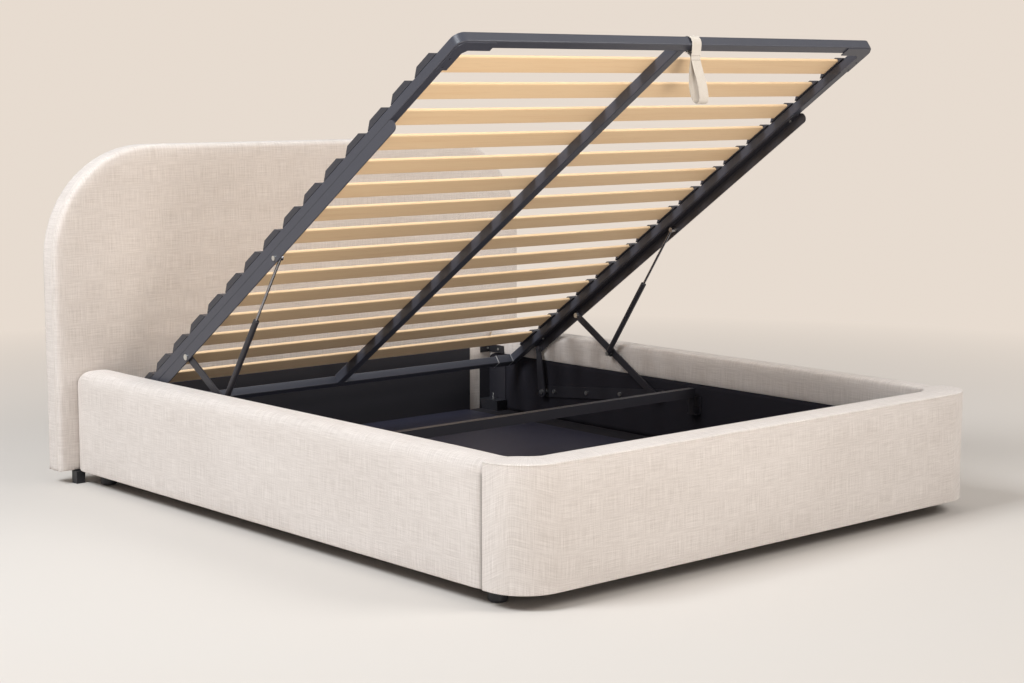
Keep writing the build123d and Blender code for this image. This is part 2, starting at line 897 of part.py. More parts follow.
foot_bar_start = platform_length - tube_width
tube_in = tube_half - tube_width
side_tube = box_tube(
    tube_plane(tube_half - tube_width / 2, 0, tube_height / 2),
    tube_width,
    tube_height,
    foot_bar_start,
    tube_wall,
)
save_pair(side_tube, "platform_side_tube")

head_bar = box_tube(
    cross_tube_plane(-tube_in, tube_width / 2, tube_height / 2),
    tube_width,
    tube_height,
    2 * tube_in,
    tube_wall,
)
save(head_bar, "platform_head_bar")

with BuildPart() as foot_bar:
    with BuildSketch(platform_plane):
        with Locations((0, -platform_length)):
            Rectangle(platform_width, tube_width, align=(Align.CENTER, Align.MIN))
        far_corners = vertices().group_by(Axis.Y)[0]
        fillet(far_corners, radius=bar_corner_radius - tube_wall)
    extrude(amount=tube_height)
    flat_faces = foot_bar.faces().filter_by(
        lambda face: abs(face.normal_at().dot(platform_plane.z_dir)) > math.cos(math.pi / 4)
    )
    fillet(flat_faces.edges(), radius=tube_corner_radius)
    with BuildSketch(platform_plane.offset(tube_wall)):
        with Locations((0, -platform_length + tube_wall)):
            Rectangle(
                platform_width - 2 * bar_corner_radius,
                tube_width - 2 * tube_wall,
                align=(Align.CENTER, Align.MIN),
            )
    extrude(amount=tube_height - 2 * tube_wall, mode=Mode.SUBTRACT)
save(foot_bar, "platform_foot_bar")

centre_bar = box_tube(
    tube_plane(0, tube_width, slat_seat / 2),
    centre_bar_width,
    slat_seat,
    foot_bar_start - tube_width,
    tube_wall,
)
save(centre_bar, "platform_centre_bar")

# Corner plates under the foot bar's ends
gusset_out = tube_half - gusset_inset
gusset_in = tube_half - tube_width - gusset_lip
gusset_far = gusset_inset - platform_length
gusset_near = tube_width + gusset_lip - platform_length
with BuildPart() as gusset:
    with BuildSketch(platform_plane):
        with BuildLine():
            Polyline(
                (gusset_out, gusset_far),
                (gusset_out, gusset_length - platform_length),
                (gusset_in, gusset_length - platform_length),
                (gusset_in, gusset_near + gusset_inner_cut),
                (gusset_in - gusset_inner_cut, gusset_near),
                (tube_half - gusset_length, gusset_near),
                (tube_half - gusset_length, gusset_far),
                close=True,
            )
        make_face()
        outer_corner = vertices().sort_by(Axis.Y)[:2].sort_by(Axis.X)[1]
        fillet(outer_corner, radius=bar_corner_radius - gusset_inset)
        for index in range(2):
            along_side = first_vent + vent_step * index - platform_length
            with Locations((tube_half - tube_width / 2, along_side)):
                Circle(vent_diameter / 2, mode=Mode.SUBTRACT)
    extrude(amount=-gusset_thickness)
save_both(gusset, "foot_gussets")

sleeve_start = cross_tube_plane(tube_in - sleeve_length, tube_width / 2, tube_height / 2)
head_sleeve = box_tube(
    sleeve_start,
    tube_width + 2 * sleeve_wall,
    tube_height + 2 * sleeve_wall,
    sleeve_length,
    sleeve_wall,
)
save_both(head_sleeve, "head_sleeves")

# Arms, their bolts and the strut studs
long_arm_place = (long_pivot_along, -pivot_drop)
short_arm_place = (short_pivot_along, -pivot_drop)
stud_arm_place = (strut_stud_along, -strut_stud_drop)
with BuildPart() as arm:
    with BuildSketch(arm_plane(tube_half)):
        with Locations((arm_start, 0)):
            Rectangle(arm_end - arm_start, arm_depth, align=(Align.MIN, Align.MAX))
        with Locations(long_arm_place, short_arm_place):
            Circle(pin_diameter / 2 + hole_fit, mode=Mode.SUBTRACT)
        with Locations(stud_arm_place):
            Circle(stud_diameter / 2 + hole_fit, mode=Mode.SUBTRACT)
    extrude(amount=arm_thickness)
    tip_edges = arm.edges().filter_by(Axis.X).sort_by_distance(
        (tube_half, *on_platform(arm_end, -arm_depth / 2))
    )
    fillet(tip_edges[:2], radius=arm_tip_radius)
    heel_edges = arm.edges().filter_by(Axis.X).sort_by_distance(
        (tube_half, *on_platform(arm_start, -arm_depth))
    )
    fillet(heel_edges[0], radius=arm_heel_radius)
save_pair(arm, "arm")

# Flange of each arm, screwed up into the side tube
flange_screws = [
    (tube_half - flange_screw_inset, -first_flange_screw),
    (tube_half - flange_screw_inset, -last_flange_screw),
]
flange_end = arm_end - arm_tip_radius
with BuildPart() as arm_flange:
    with BuildSketch(platform_plane):
        with Locations((arm_in, -flange_start)):
            Rectangle(
                flange_width - arm_thickness,
                flange_end - flange_start,
                align=(Align.MAX, Align.MAX),
            )
        far_corner = vertices().sort_by(Axis.Y)[:2].sort_by(Axis.X)[0]
        fillet(far_corner, radius=flange_radius)
        with Locations(*flange_screws):
            Circle(flange_screw_shank / 2 + hole_fit, mode=Mode.SUBTRACT)
    extrude(amount=-flange_thickness)
save_both(arm_flange, "arm_flanges")

with BuildPart() as flange_screw:
    with BuildSketch(platform_plane.offset(-flange_thickness)):
        with Locations(*flange_screws):
            Circle(flange_screw_head / 2)
    extrude(amount=-flange_screw_height)
    with BuildSketch(platform_plane.offset(-flange_thickness)):
        with Locations(*flange_screws):
            Circle(flange_screw_shank / 2)
    extrude(amount=flange_thickness)

bolt_steps = (
    (tube_half, tube_half + bolt_head_height, pin_head_diameter),
    (arm_in, tube_half, pin_diameter),
    (link_out + side_play, arm_in, pin_head_diameter),
)
stud_steps = (
    (tube_half, tube_half + bolt_head_height, screw_head_diameter),
    (arm_in, tube_half, stud_diameter),
    (eye_out + side_play, arm_in, screw_head_diameter),
)
arm_bolts = gather(
    [
        turned(on_platform(*long_arm_place), bolt_steps + (link_pin, inner_head)),
        turned(on_platform(*short_arm_place), bolt_steps),
        turned(on_platform(*stud_arm_place), stud_steps),
        flange_screw,
    ]
)
save_pair(arm_bolts, "arm_bolts")

# Slats and holders
holder_in = tube_in - holder_lip
slat_half = tube_half - tube_width + slat_end_depth
slat_places = [first_slat_from_head + slat_pitch * index for index in range(slat_count)]
slats_per_node = math.ceil(slat_count / 3)
for index, name in enumerate(("slats_head", "slats_middle", "slats_foot")):
    with BuildPart() as slats:
        for place in slat_places[index * slats_per_node : (index + 1) * slats_per_node]:
            with BuildSketch(platform_plane.offset(slat_seat)):
                with Locations((0, -place)):
                    Rectangle(2 * slat_half, slat_width)
            extrude(amount=slat_thickness)
        fillet(slats.edges().filter_by(Axis.X), radius=slat_edge_radius)
    save(slats, name)

with BuildPart() as slat_holders:
    for place in slat_places:
        with BuildSketch(arm_plane(tube_half)):
            with BuildLine():
                Polyline(
                    (place - holder_base / 2, tube_height),
                    (place + holder_base / 2, tube_height),
                    (place + holder_top / 2, tube_height + holder_rise),
                    (place - holder_top / 2, tube_height + holder_rise),
                    close=True,
                )
            make_face()
            top_corners = vertices().sort_by(Axis.Y)[2:]
            fillet(top_corners, radius=holder_corner_radius)
        extrude(amount=tube_width + holder_lip)
        with BuildSketch(arm_plane(slat_half + side_play)):
            with Locations((place, slat_seat)):
                Rectangle(
                    slat_width + 2 * side_play,
                    slat_thickness + side_play,
                    align=(Align.CENTER, Align.MIN),
                )
        extrude(amount=tube_width + holder_lip, mode=Mode.SUBTRACT)
save_pair(slat_holders, "slat_holders")

# Pull strap: a webbing loop round the foot bar with a hand loop below
bar_centre = on_platform(platform_length - tube_width / 2, tube_height / 2)
tube_reach = tube_corner_radius + math.hypot(
    tube_width / 2 - tube_corner_radius, tube_height / 2 - tube_corner_radius
)
ring_inner = tube_reach + strap_play
ring_outer = ring_inner + strap_thickness
loop_centre = bar_centre[1] - ring_outer - strap_neck - strap_loop_length / 2
with BuildPart() as strap:
    with BuildSketch(side_plane(strap_from_centre - strap_width / 2)):
        with Locations(bar_centre):
            Circle(ring_outer)
        with Locations((bar_centre[0], bar_centre[1] - ring_inner)):
            Rectangle(
                2 * strap_thickness,
                strap_neck + 3 * strap_thickness,
                align=(Align.CENTER, Align.MAX),
            )
        with Locations((bar_centre[0], loop_centre)):
            Ellipse(strap_loop_width / 2, strap_loop_length / 2)
            Ellipse(
                strap_loop_width / 2 - strap_thickness,
                strap_loop_length / 2 - strap_thickness,
                mode=Mode.SUBTRACT,
            )
        with Locations(bar_centre):
            Circle(ring_inner, mode=Mode.SUBTRACT)
    extrude(amount=strap_width)
save(strap, "pull_strap")
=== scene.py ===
import math
import bpy
import bmesh
import numpy as np
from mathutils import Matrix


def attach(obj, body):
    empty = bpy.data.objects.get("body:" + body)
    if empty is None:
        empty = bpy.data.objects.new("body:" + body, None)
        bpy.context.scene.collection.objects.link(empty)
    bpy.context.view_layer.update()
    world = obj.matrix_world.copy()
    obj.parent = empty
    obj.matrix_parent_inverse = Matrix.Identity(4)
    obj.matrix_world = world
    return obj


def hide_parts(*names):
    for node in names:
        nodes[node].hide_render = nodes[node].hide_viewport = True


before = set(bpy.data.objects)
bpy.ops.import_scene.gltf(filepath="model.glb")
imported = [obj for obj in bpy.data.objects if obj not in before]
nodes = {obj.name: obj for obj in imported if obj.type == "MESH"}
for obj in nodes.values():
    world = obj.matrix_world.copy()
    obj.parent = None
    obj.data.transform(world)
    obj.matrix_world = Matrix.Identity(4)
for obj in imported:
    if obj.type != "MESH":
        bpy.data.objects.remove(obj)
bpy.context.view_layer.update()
print("frame loaded:", len(nodes), "nodes")

# the camera stands at the corner of the room that shows the foot and the left rail
viewpoint = {
    "place": (-3.893, -4.458, 1.256),
    "turn": 41.36,  # degrees from +Y towards +X
    "tilt": 7.55,  # degrees down
    "lens": 69.1,
}
cameraData = bpy.data.cameras.new("camera")
camera = bpy.data.objects.new("camera", cameraData)
bpy.context.scene.collection.objects.link(camera)
cameraData.lens = viewpoint["lens"]
cameraData.sensor_width = 36.0
cameraData.clip_end = 200.0
camera.location = viewpoint["place"]
camera.rotation_euler = (
    math.radians(90 - viewpoint["tilt"]),
    0,
    -math.radians(viewpoint["turn"]),
)
bpy.context.scene.camera = camera


class Wire:
    # an output socket, or a number; sums on it add Math nodes to its own tree
    def __init__(self, socket):
        self.socket = socket

    def sum(self, operation, first, second=None):
        node = self.socket.id_data.nodes.new("ShaderNodeMath")
        node.operation = operation
        plug(node.inputs[0], first)
        if second is not None:
            plug(node.inputs[1], second)
        return Wire(node.outputs[0])

    def __add__(self, other):
        return self.sum("ADD", self, other)

    def __radd__(self, other):
        return self.sum("ADD", other, self)

    def __sub__(self, other):
        return self.sum("SUBTRACT", self, other)

    def __rsub__(self, other):
        return self.sum("SUBTRACT", other, self)

    def __mul__(self, other):
        return self.sum("MULTIPLY", self, other)

    def __rmul__(self, other):
        return self.sum("MULTIPLY", other, self)

    def __truediv__(self, other):
        return self.sum("DIVIDE", self, other)

    def __rtruediv__(self, other):
        return self.sum("DIVIDE", other, self)

    def __gt__(self, other):
        return self.sum("GREATER_THAN", self, other)

    def __lt__(self, other):
        return self.sum("LESS_THAN", self, other)

    def sine(self):
        return self.sum("SINE", self)

    def size(self):
        return self.sum("ABSOLUTE", self)

    def larger(self, other):
        return self.sum("MAXIMUM", self, other)


def plug(socket, value):
    # a link where the value is a wire, or the value itself
    if isinstance(value, Wire):
        socket.id_data.links.new(value.socket, socket)
    elif hasattr(socket.default_value, "__len__") and len(value) == 3:
        socket.default_value = (*value, 1.0)[: len(socket.default_value)]
    else:
        socket.default_value = value


class Graph:
    # the nodes of a material or of the world
    def __init__(self, tree):
        self.tree = tree

    def node(self, kind, settings=None, out=0, **sockets):
        made = self.tree.nodes.new("ShaderNode" + kind)
        for name, value in (settings or {}).items():
            if name == "stops":
                ramp = made.color_ramp
                while len(ramp.elements) < len(value):
                    ramp.elements.new(0.5)
                for stop, (place, shade) in zip(ramp.elements, value):
                    stop.position = place
                    stop.color = (*shade, 1.0) if hasattr(shade, "__len__") else (shade,) * 3 + (1.0,)
            else:
                setattr(made, name, value)
        for name, value in sockets.items():
            # a second socket of the same name goes by its identifier
            wanted = name.replace("_", " ")
            fitting = (s for s in made.inputs if s.enabled and (s.name == wanted or s.identifier == name))
            plug(next(fitting), value)
        shown = [s for s in made.outputs if s.enabled]
        return Wire(next(s for s in shown if s.name == out) if isinstance(out, str) else shown[out])

    def show(self, shader):
        # gives the shader to the output node
        output = next(node for node in self.tree.nodes if node.type.startswith("OUTPUT"))
        plug(output.inputs["Surface"], shader)


class Finish(Graph):
    # a material under way, with one Principled surface
    def __init__(self, name, **fixed):
        self.material = bpy.data.materials.new(name)
        self.material.use_nodes = True
        super().__init__(self.material.node_tree)
        self.surface = self.tree.nodes["Principled BSDF"]
        self.set(**fixed)

    def set(self, **values):
        for name, value in values.items():
            plug(self.surface.inputs[name.replace("_", " ")], value)

    def place(self, turn=(0, 0, 0), scale=(1, 1, 1), uv=None):
        # object coordinates, or the piece's own UV map, turned and scaled
        source = self.node("UVMap", {"uv_map": uv}) if uv else self.node("TexCoord", out="Object")
        if turn == (0, 0, 0) and scale == (1, 1, 1):
            return source
        turns = tuple(math.radians(a) for a in turn)
        return self.node("Mapping", Vector=source, Rotation=turns, Scale=scale)

    def noise(self, place, scale, detail=3.0, roughness=0.55):
        return self.node(
            "TexNoise", {}, out="Fac", Vector=place, Scale=scale, Detail=detail, Roughness=roughness
        )

    def blend(self, share, first, second):
        return self.node("Mix", {"data_type": "RGBA"}, Factor=share, A=first, B=second)

    def bump(self, height, depth, strength=1.0):
        self.set(Normal=self.node("Bump", Height=height, Distance=depth, Strength=strength))


def dressNodes(finish, *names):
    # a CAD node keeps its shape and takes the finish
    for name in names:
        mesh = nodes[name].data
        mesh.materials.clear()
        mesh.materials.append(finish.material)


# hard finishes, on object coordinates
platformTilt = -34.845  # degrees about X, from level to the raised rest pose


def powderCoat(name, colour, rough):
    finish = Finish(name)
    place = finish.place()
    cloud = finish.noise(place, 3.5, 4.0)
    speck = finish.noise(place, 900.0, 2.0)
    light = tuple(c * 1.28 + 0.004 for c in colour)
    tone = finish.blend(cloud * 0.7 + speck * 0.25, colour, light)
    rub = finish.noise(place, 26.0, 6.0, 0.7)
    worn = finish.node("ValToRGB", {"stops": [(0.64, 0.0), (0.74, 1.0)]}, out="Color", Fac=rub)
    finish.set(Base_Color=finish.blend(worn, tone, tuple(c * 1.5 + 0.01 for c in colour)))
    finish.set(Roughness=rough - 0.05 + speck * 0.12 + rub * 0.06)
    finish.bump(speck * 0.6 + cloud * 0.2, 0.00025)
    return finish


def platedMetal(name, colour, rough):
    finish = Finish(name, Metallic=1.0)
    fine = finish.noise(finish.place(), 420.0, 3.0)
    cloud = finish.noise(finish.place(), 60.0, 3.0)
    finish.set(Base_Color=finish.blend(cloud, colour, tuple(min(c * 1.3, 0.95) for c in colour)))
    finish.set(Roughness=rough + fine * 0.12 + cloud * 0.08)
    finish.bump(fine, 0.00008)
    return finish


anthracite = powderCoat("anthracitePowder", (0.047, 0.049, 0.063), 0.30)
blackPowder = powderCoat("blackPowder", (0.024, 0.023, 0.029), 0.34)
zincPlate = platedMetal("zincPlate", (0.62, 0.62, 0.60), 0.24)
pistonChrome = platedMetal("pistonChrome", (0.30, 0.30, 0.32), 0.16)


def mouldedPlastic(name, colour, rough):
    finish = Finish(name)
    grain = finish.noise(finish.place(), 1400.0, 2.0)
    cloud = finish.noise(finish.place(), 9.0, 3.0)
    finish.set(Base_Color=finish.blend(cloud, colour, tuple(c * 1.5 + 0.003 for c in colour)))
    finish.set(Roughness=rough + grain * 0.15 - cloud * 0.05)
    finish.bump(grain, 0.00012)
    return finish


blackPlastic = mouldedPlastic("blackPlastic", (0.014, 0.014, 0.017), 0.38)
holderPlastic = mouldedPlastic("holderPlastic", (0.030, 0.030, 0.037), 0.36)


def showMetal(finish, mask, colour, rough):
    # bare metal where the mask is 1, over the colour and roughness set before
    surface = finish.surface
    under = Wire(surface.inputs["Base Color"].links[0].from_socket)
    dull = Wire(surface.inputs["Roughness"].links[0].from_socket)
    finish.set(Base_Color=finish.blend(mask, under, colour), Metallic=mask * 0.9)
    finish.set(Roughness=dull * (1 - mask) + mask * rough)
    return finish


def objectAxes(finish):
    parts = finish.node("SeparateXYZ", Vector=finish.place())
    return [Wire(socket) for socket in parts.socket.node.outputs]


def weldedSleeve():
    # powder coat with a bright ground weld at both ends of each sleeve
    finish = powderCoat("sleevePowder", (0.047, 0.049, 0.063), 0.30)
    x, _, _ = objectAxes(finish)
    ends = ((x.size() - 0.7005).size() < 0.0022) + ((x.size() - 0.7685).size() < 0.0024)
    return showMetal(finish, ends * 0.9, (0.78, 0.78, 0.78), 0.35)


def footCoat():
    # black powder coat with a zinc bolt standing on the foot
    finish = powderCoat("bracketPowder", (0.022, 0.022, 0.027), 0.40)
    _, _, z = objectAxes(finish)
    return showMetal(finish, z > 0.0943, (0.80, 0.80, 0.78), 0.25)


def catchPlastic():
    # black plastic with the zinc heads of its two screws
    finish = mouldedPlastic("catchPlastic", (0.014, 0.014, 0.017), 0.38)
    x, y, _ = objectAxes(finish)
    return showMetal(finish, (x.size() < 0.80495) * (y < 1.00595), (0.62, 0.62, 0.60), 0.3)


def slatWood():
    # long grain across the bed, plies one above the other on the edges
    finish = Finish("beechSlat")
    along = finish.place(turn=(-platformTilt, 0, 0), scale=(2.2, 60, 60))
    fine = finish.place(turn=(-platformTilt, 0, 0), scale=(9, 420, 420))
    streak = finish.noise(along, 1.0, 5.0, 0.6)
    pore = finish.noise(fine, 1.0, 3.0, 0.7)
    slatToSlat = finish.noise(finish.place(turn=(-platformTilt, 0, 0), scale=(0.15, 7, 7)), 1.0, 1.0)
    pale, warm, dark = (0.93, 0.68, 0.42), (0.88, 0.615, 0.36), (0.56, 0.35, 0.19)
    tone = finish.node(
        "ValToRGB", {"stops": [(0.30, warm), (0.55, pale), (0.78, warm)]}, out="Color", Fac=streak
    )
    tone = finish.blend(slatToSlat * 0.35, tone, warm)
    pores = finish.node("ValToRGB", {"stops": [(0.60, 0.0), (0.74, 1.0)]}, out="Color", Fac=pore)
    finish.set(Base_Color=finish.blend(pores * 0.35, tone, dark))
    finish.set(Roughness=0.48 + streak * 0.16)
    finish.bump(pore * 0.7 + streak * 0.3, 0.00018)
    return finish


def facedBoard(name, colour, rough):
    # smooth dark facing with a faint stipple and dust
    finish = Finish(name)
    stipple = finish.noise(finish.place(), 700.0, 2.0)
    cloud = finish.noise(finish.place(), 2.2, 5.0)
    dust = finish.noise(finish.place(), 55.0, 4.0, 0.7)
    finish.set(Base_Color=finish.blend(cloud * 0.7 + dust * 0.3, colour, tuple(c * 1.6 for c in colour)))
    finish.set(Roughness=rough + cloud * 0.14 + dust * 0.08)
    finish.bump(stipple, 0.00012)
    return finish


floorFacing = facedBoard("floorFacing", (0.0225, 0.0225, 0.038), 0.36)
blackFacing = facedBoard("blackFacing", (0.0115, 0.0105, 0.0145), 0.55)


def rawBoard():
    finish = Finish("rawBoard", Roughness=0.8)
    chip = finish.node("TexVoronoi", {}, out="Color", Vector=finish.place(), Scale=260.0)
    shade = finish.noise(finish.place(), 140.0, 4.0)
    finish.set(Base_Color=finish.blend(shade, (0.36, 0.25, 0.15), (0.58, 0.44, 0.29)))
    finish.bump(finish.node("RGBToBW", Color=chip), 0.0002)
    return finish


beech = slatWood()
chipboard = rawBoard()

dressNodes(
    anthracite,
    "platform_side_tube_left",
    "platform_side_tube_right",
    "platform_head_bar",
    "platform_foot_bar",
    "platform_centre_bar",
    "foot_gussets",
    "arm_left",
)
pairedSteel = ("long_link", "short_link", "base_plate", "head_bracket", "strut_cylinder")
dressNodes(
    blackPowder,
    *(f"{part}_{side}" for part in pairedSteel for side in ("left", "right")),
    # arm_right is the twin of arm_left but takes this black coat: painted shade, for the arm that lies in
    # the platform's shadow
    "arm_right",
    "arm_flanges",
    "beam_sockets",
    "beam_hooks",
    "cross_beam",
)
dressNodes(
    zincPlate,
    "arm_bolts_left",
    "arm_bolts_right",
    "base_pivots",
    "plate_screws",
    "strut_stud_left",
    "strut_stud_right",
)
dressNodes(pistonChrome, "strut_rod_left", "strut_rod_right")
dressNodes(blackPlastic, "headboard_legs", "rail_feet")
dressNodes(holderPlastic, "slat_holders_left", "slat_holders_right")
dressNodes(weldedSleeve(), "head_sleeves")
dressNodes(footCoat(), "bracket_feet")
dressNodes(catchPlastic(), "head_catches")
dressNodes(beech, "slats_head", "slats_middle", "slats_foot")
dressNodes(floorFacing, "floor_board_head", "floor_board_foot")
dressNodes(blackFacing, "storage_head_panel", "floor_ledge_left", "floor_ledge_right", "floor_cross_ledges")
dressNodes(chipboard, "rail_core_left", "rail_core_right", "foot_core", "headboard_core")
print("hard finishes done")


threadPitch = 0.0013


def linenWeave(name, pale, deep):
    # plain weave on the cloth's own UV map, which is in metres: warp and weft threads
    # cross over and under, with slubs a few centimetres long in both directions; the seam
    # attribute paints shade into the colour, dark brown by the seams and under the covers
    finish = Finish(name, Sheen_Weight=0.25, Sheen_Roughness=0.5)
    finish.set(Sheen_Tint=(1.0, 0.98, 0.96), Specular_IOR_Level=0.25)
    flat = finish.place(uv="weave")
    parts = finish.node("SeparateXYZ", Vector=flat)
    across, down = parts, Wire(parts.socket.node.outputs[1])
    sway = finish.noise(flat, 9.0, 2.0) * 0.010
    turn = 2 * math.pi / threadPitch
    warp = ((across + sway) * turn).sine()
    weft = ((down + sway) * turn).sine()
    weave = (warp * weft) * 0.5 + 0.5
    threads = warp.size().larger(weft.size())
    slubAcross = finish.noise(finish.place(uv="weave", scale=(14, 420, 1)), 1.0, 3.0, 0.6)
    slubDown = finish.noise(finish.place(uv="weave", scale=(420, 14, 1)), 1.0, 3.0, 0.6)
    broad = finish.noise(finish.place(uv="weave", scale=(2.2, 5, 1)), 1.0, 3.0)
    shade = slubAcross * 0.42 + slubDown * 0.42 + broad * 0.16
    tone = finish.node("ValToRGB", {"stops": [(0.36, deep), (0.63, pale)]}, out="Color", Fac=shade)
    gaps = (1 - threads) * 0.30 + (1 - weave) * 0.06
    cloth = finish.blend(gaps, tone, tuple(c * 0.62 for c in deep))
    # painted shade: the seam attribute blends the cloth towards dark brown
    seam = finish.node("Attribute", {"attribute_name": "seam"}, out="Fac")
    finish.set(Base_Color=finish.blend(seam, cloth, (0.100, 0.078, 0.062)))
    finish.set(Roughness=0.86 + shade * 0.1)
    finish.bump(threads * 0.5 + weave * 0.25 + shade * 0.6, 0.0007, 0.8)
    return finish


linen = linenWeave("oatmealLinen", (0.875, 0.805, 0.755), (0.620, 0.550, 0.500))


def liningCloth():
    # black non-woven cloth with small pressed dimples
    finish = Finish("blackLining", Roughness=0.92, Specular_IOR_Level=0.2)
    flat = finish.place(uv="weave")
    fibre = finish.noise(flat, 320.0, 4.0, 0.7)
    dimple = finish.node("TexVoronoi", {}, out="Distance", Vector=flat, Scale=260.0)
    finish.set(Base_Color=finish.blend(fibre, (0.011, 0.0102, 0.0140), (0.030, 0.028, 0.037)))
    finish.bump(dimple * 0.6 + fibre * 0.5, 0.0004)
    return finish


def ribbedWebbing():
    # cotton webbing: ribs along the strap, picks across them
    finish = Finish("cottonWebbing", Roughness=0.85, Specular_IOR_Level=0.25)
    flat = finish.place(uv="weave")
    parts = finish.node("SeparateXYZ", Vector=flat)
    across, down = parts, Wire(parts.socket.node.outputs[1])
    ribs = (across * (2 * math.pi / 0.0032)).sine() * 0.5 + 0.5
    picks = (down * (2 * math.pi / 0.0016)).sine() * 0.5 + 0.5
    soil = finish.noise(flat, 40.0, 4.0)
    tone = finish.blend(soil, (0.68, 0.62, 0.54), (0.82, 0.77, 0.71))
    cloth = finish.blend((1 - ribs) * 0.42 + picks * 0.12, tone, (0.36, 0.30, 0.24))
    row = ((down.size() - 0.006).size() < 0.0009) * ((across * (2 * math.pi / 0.0042)).sine() > -0.3)
    finish.set(Base_Color=finish.blend(row * 0.8, cloth, (0.30, 0.24, 0.20)))
    finish.bump(ribs * 0.8 + picks * 0.2 - row, 0.0006)
    return finish


blackCloth = liningCloth()
webbing = ribbedWebbing()
print("cloth finishes done")


def newObject(name, mesh, finish, body="base"):
    piece = bpy.data.objects.new(name, mesh)
    bpy.context.scene.collection.objects.link(piece)
    mesh.materials.append(finish.material)
    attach(piece, body)
    return piece


def gridMesh(name, points, flat, closeEnds=False):
    # quads over a grid of points (rows, columns, 3); flat is the same grid on the cloth, in metres.
    # Points that meet are merged, so a last column laid on the first closes the round
    rows, columns = points.shape[:2]
    index = np.arange(rows * columns).reshape(rows, columns)
    quads = np.stack([index[:-1, :-1], index[:-1, 1:], index[1:, 1:], index[1:, :-1]], -1).reshape(-1, 4)
    mesh = bpy.data.meshes.new(name)
    mesh.from_pydata(points.reshape(-1, 3).tolist(), [], quads.tolist())
    layer = mesh.uv_layers.new(name="weave")
    corners = np.empty(len(mesh.loops), int)
    mesh.loops.foreach_get("vertex_index", corners)
    layer.data.foreach_set("uv", flat.reshape(-1, 2)[corners].astype(np.float32).ravel())
    mesh.attributes.new("spot", "INT", "POINT").data.foreach_set("value", np.arange(rows * columns))
    work = bmesh.new()
    work.from_mesh(mesh)
    bmesh.ops.remove_doubles(work, verts=work.verts, dist=0.00005)
    bmesh.ops.dissolve_degenerate(work, edges=work.edges, dist=0.00002)
    if closeEnds:
        rims = [edge for edge in work.edges if edge.is_boundary]
        made = bmesh.ops.edgenet_fill(work, edges=rims)["faces"]
        bmesh.ops.triangulate(work, faces=made)
    bmesh.ops.recalc_face_normals(work, faces=work.faces)
    work.to_mesh(mesh)
    work.free()
    mesh.polygons.foreach_set("use_smooth", np.ones(len(mesh.polygons), bool))
    return mesh


def takeSpots(mesh):
    # the place in its grid that each point has kept, after which the mesh is clean again
    spots = np.empty(len(mesh.vertices), np.int32)
    layer = mesh.attributes["spot"]
    layer.data.foreach_get("value", spots)
    mesh.attributes.remove(layer)
    return spots


def coordinates(mesh):
    found = np.empty(len(mesh.vertices) * 3)
    mesh.vertices.foreach_get("co", found)
    return found.reshape(-1, 3)


def refine(piece):
    finer = piece.modifiers.new("finer", "SUBSURF")
    finer.levels = finer.render_levels = 1
    finer.boundary_smooth = "PRESERVE_CORNERS"


def puff(piece, hold, slack, pressure, cap, frames=20):
    # blows the cover up as cloth from the points that are held; hold and slack are 0 to 1 for
    # each point, and no point moves further than cap, which may differ from point to point
    mesh = piece.data
    rest = coordinates(mesh)
    for groupName, weights in (("hold", hold), ("slack", slack)):
        group = piece.vertex_groups.new(name=groupName)
        for value in np.unique(np.round(weights, 2)):
            members = np.flatnonzero(np.round(weights, 2) == value).tolist()
            group.add(members, float(value), "REPLACE")
    cloth = piece.modifiers.new("cloth", "CLOTH")
    settings = cloth.settings
    settings.quality = 5
    settings.mass = 0.25
    settings.tension_stiffness = settings.compression_stiffness = 12
    settings.shear_stiffness = 5
    settings.bending_stiffness = 0.4
    settings.tension_damping = settings.compression_damping = 8
    settings.vertex_group_mass = "hold"
    settings.pin_stiffness = 1
    settings.use_pressure = True
    settings.uniform_pressure_force = pressure
    settings.vertex_group_shrink = "slack"
    settings.shrink_min = 0.0
    settings.shrink_max = -0.035
    settings.effector_weights.gravity = 0
    cloth.collision_settings.use_collision = False
    cloth.collision_settings.use_self_collision = False
    cloth.point_cache.frame_start = 1
    cloth.point_cache.frame_end = frames
    scene = bpy.context.scene
    for step in range(1, frames + 1):
        scene.frame_set(step)
    blown = piece.evaluated_get(bpy.context.evaluated_depsgraph_get())
    moved = coordinates(blown.data)[: len(rest)] - rest
    piece.modifiers.remove(cloth)
    piece.vertex_groups.clear()
    scene.frame_set(1)
    length = np.linalg.norm(moved, axis=1)
    limit = cap * np.tanh(length / np.maximum(cap, 1e-6))
    moved *= (limit / np.maximum(length, 1e-9))[:, None]
    mesh.vertices.foreach_set("co", (rest + moved).ravel())
    mesh.update()
    print("puffed", piece.name, "most", round(float(length.max()) * 1000, 1), "mm")


def spread(*runs):
    # places along a line from (start, end, count) runs, each without its last point, and the end
    parts = [np.linspace(start, end, count, endpoint=False) for start, end, count in runs]
    return np.concatenate([*parts, [runs[-1][1]]])


def measured(points, axis):
    # length run along the grid on one axis, as the cloth would be laid flat
    steps = np.linalg.norm(np.diff(points, axis=axis), axis=2)
    lead = np.zeros_like(np.take(steps, [0], axis=axis))
    return np.cumsum(np.concatenate([lead, steps], axis=axis), axis=axis)


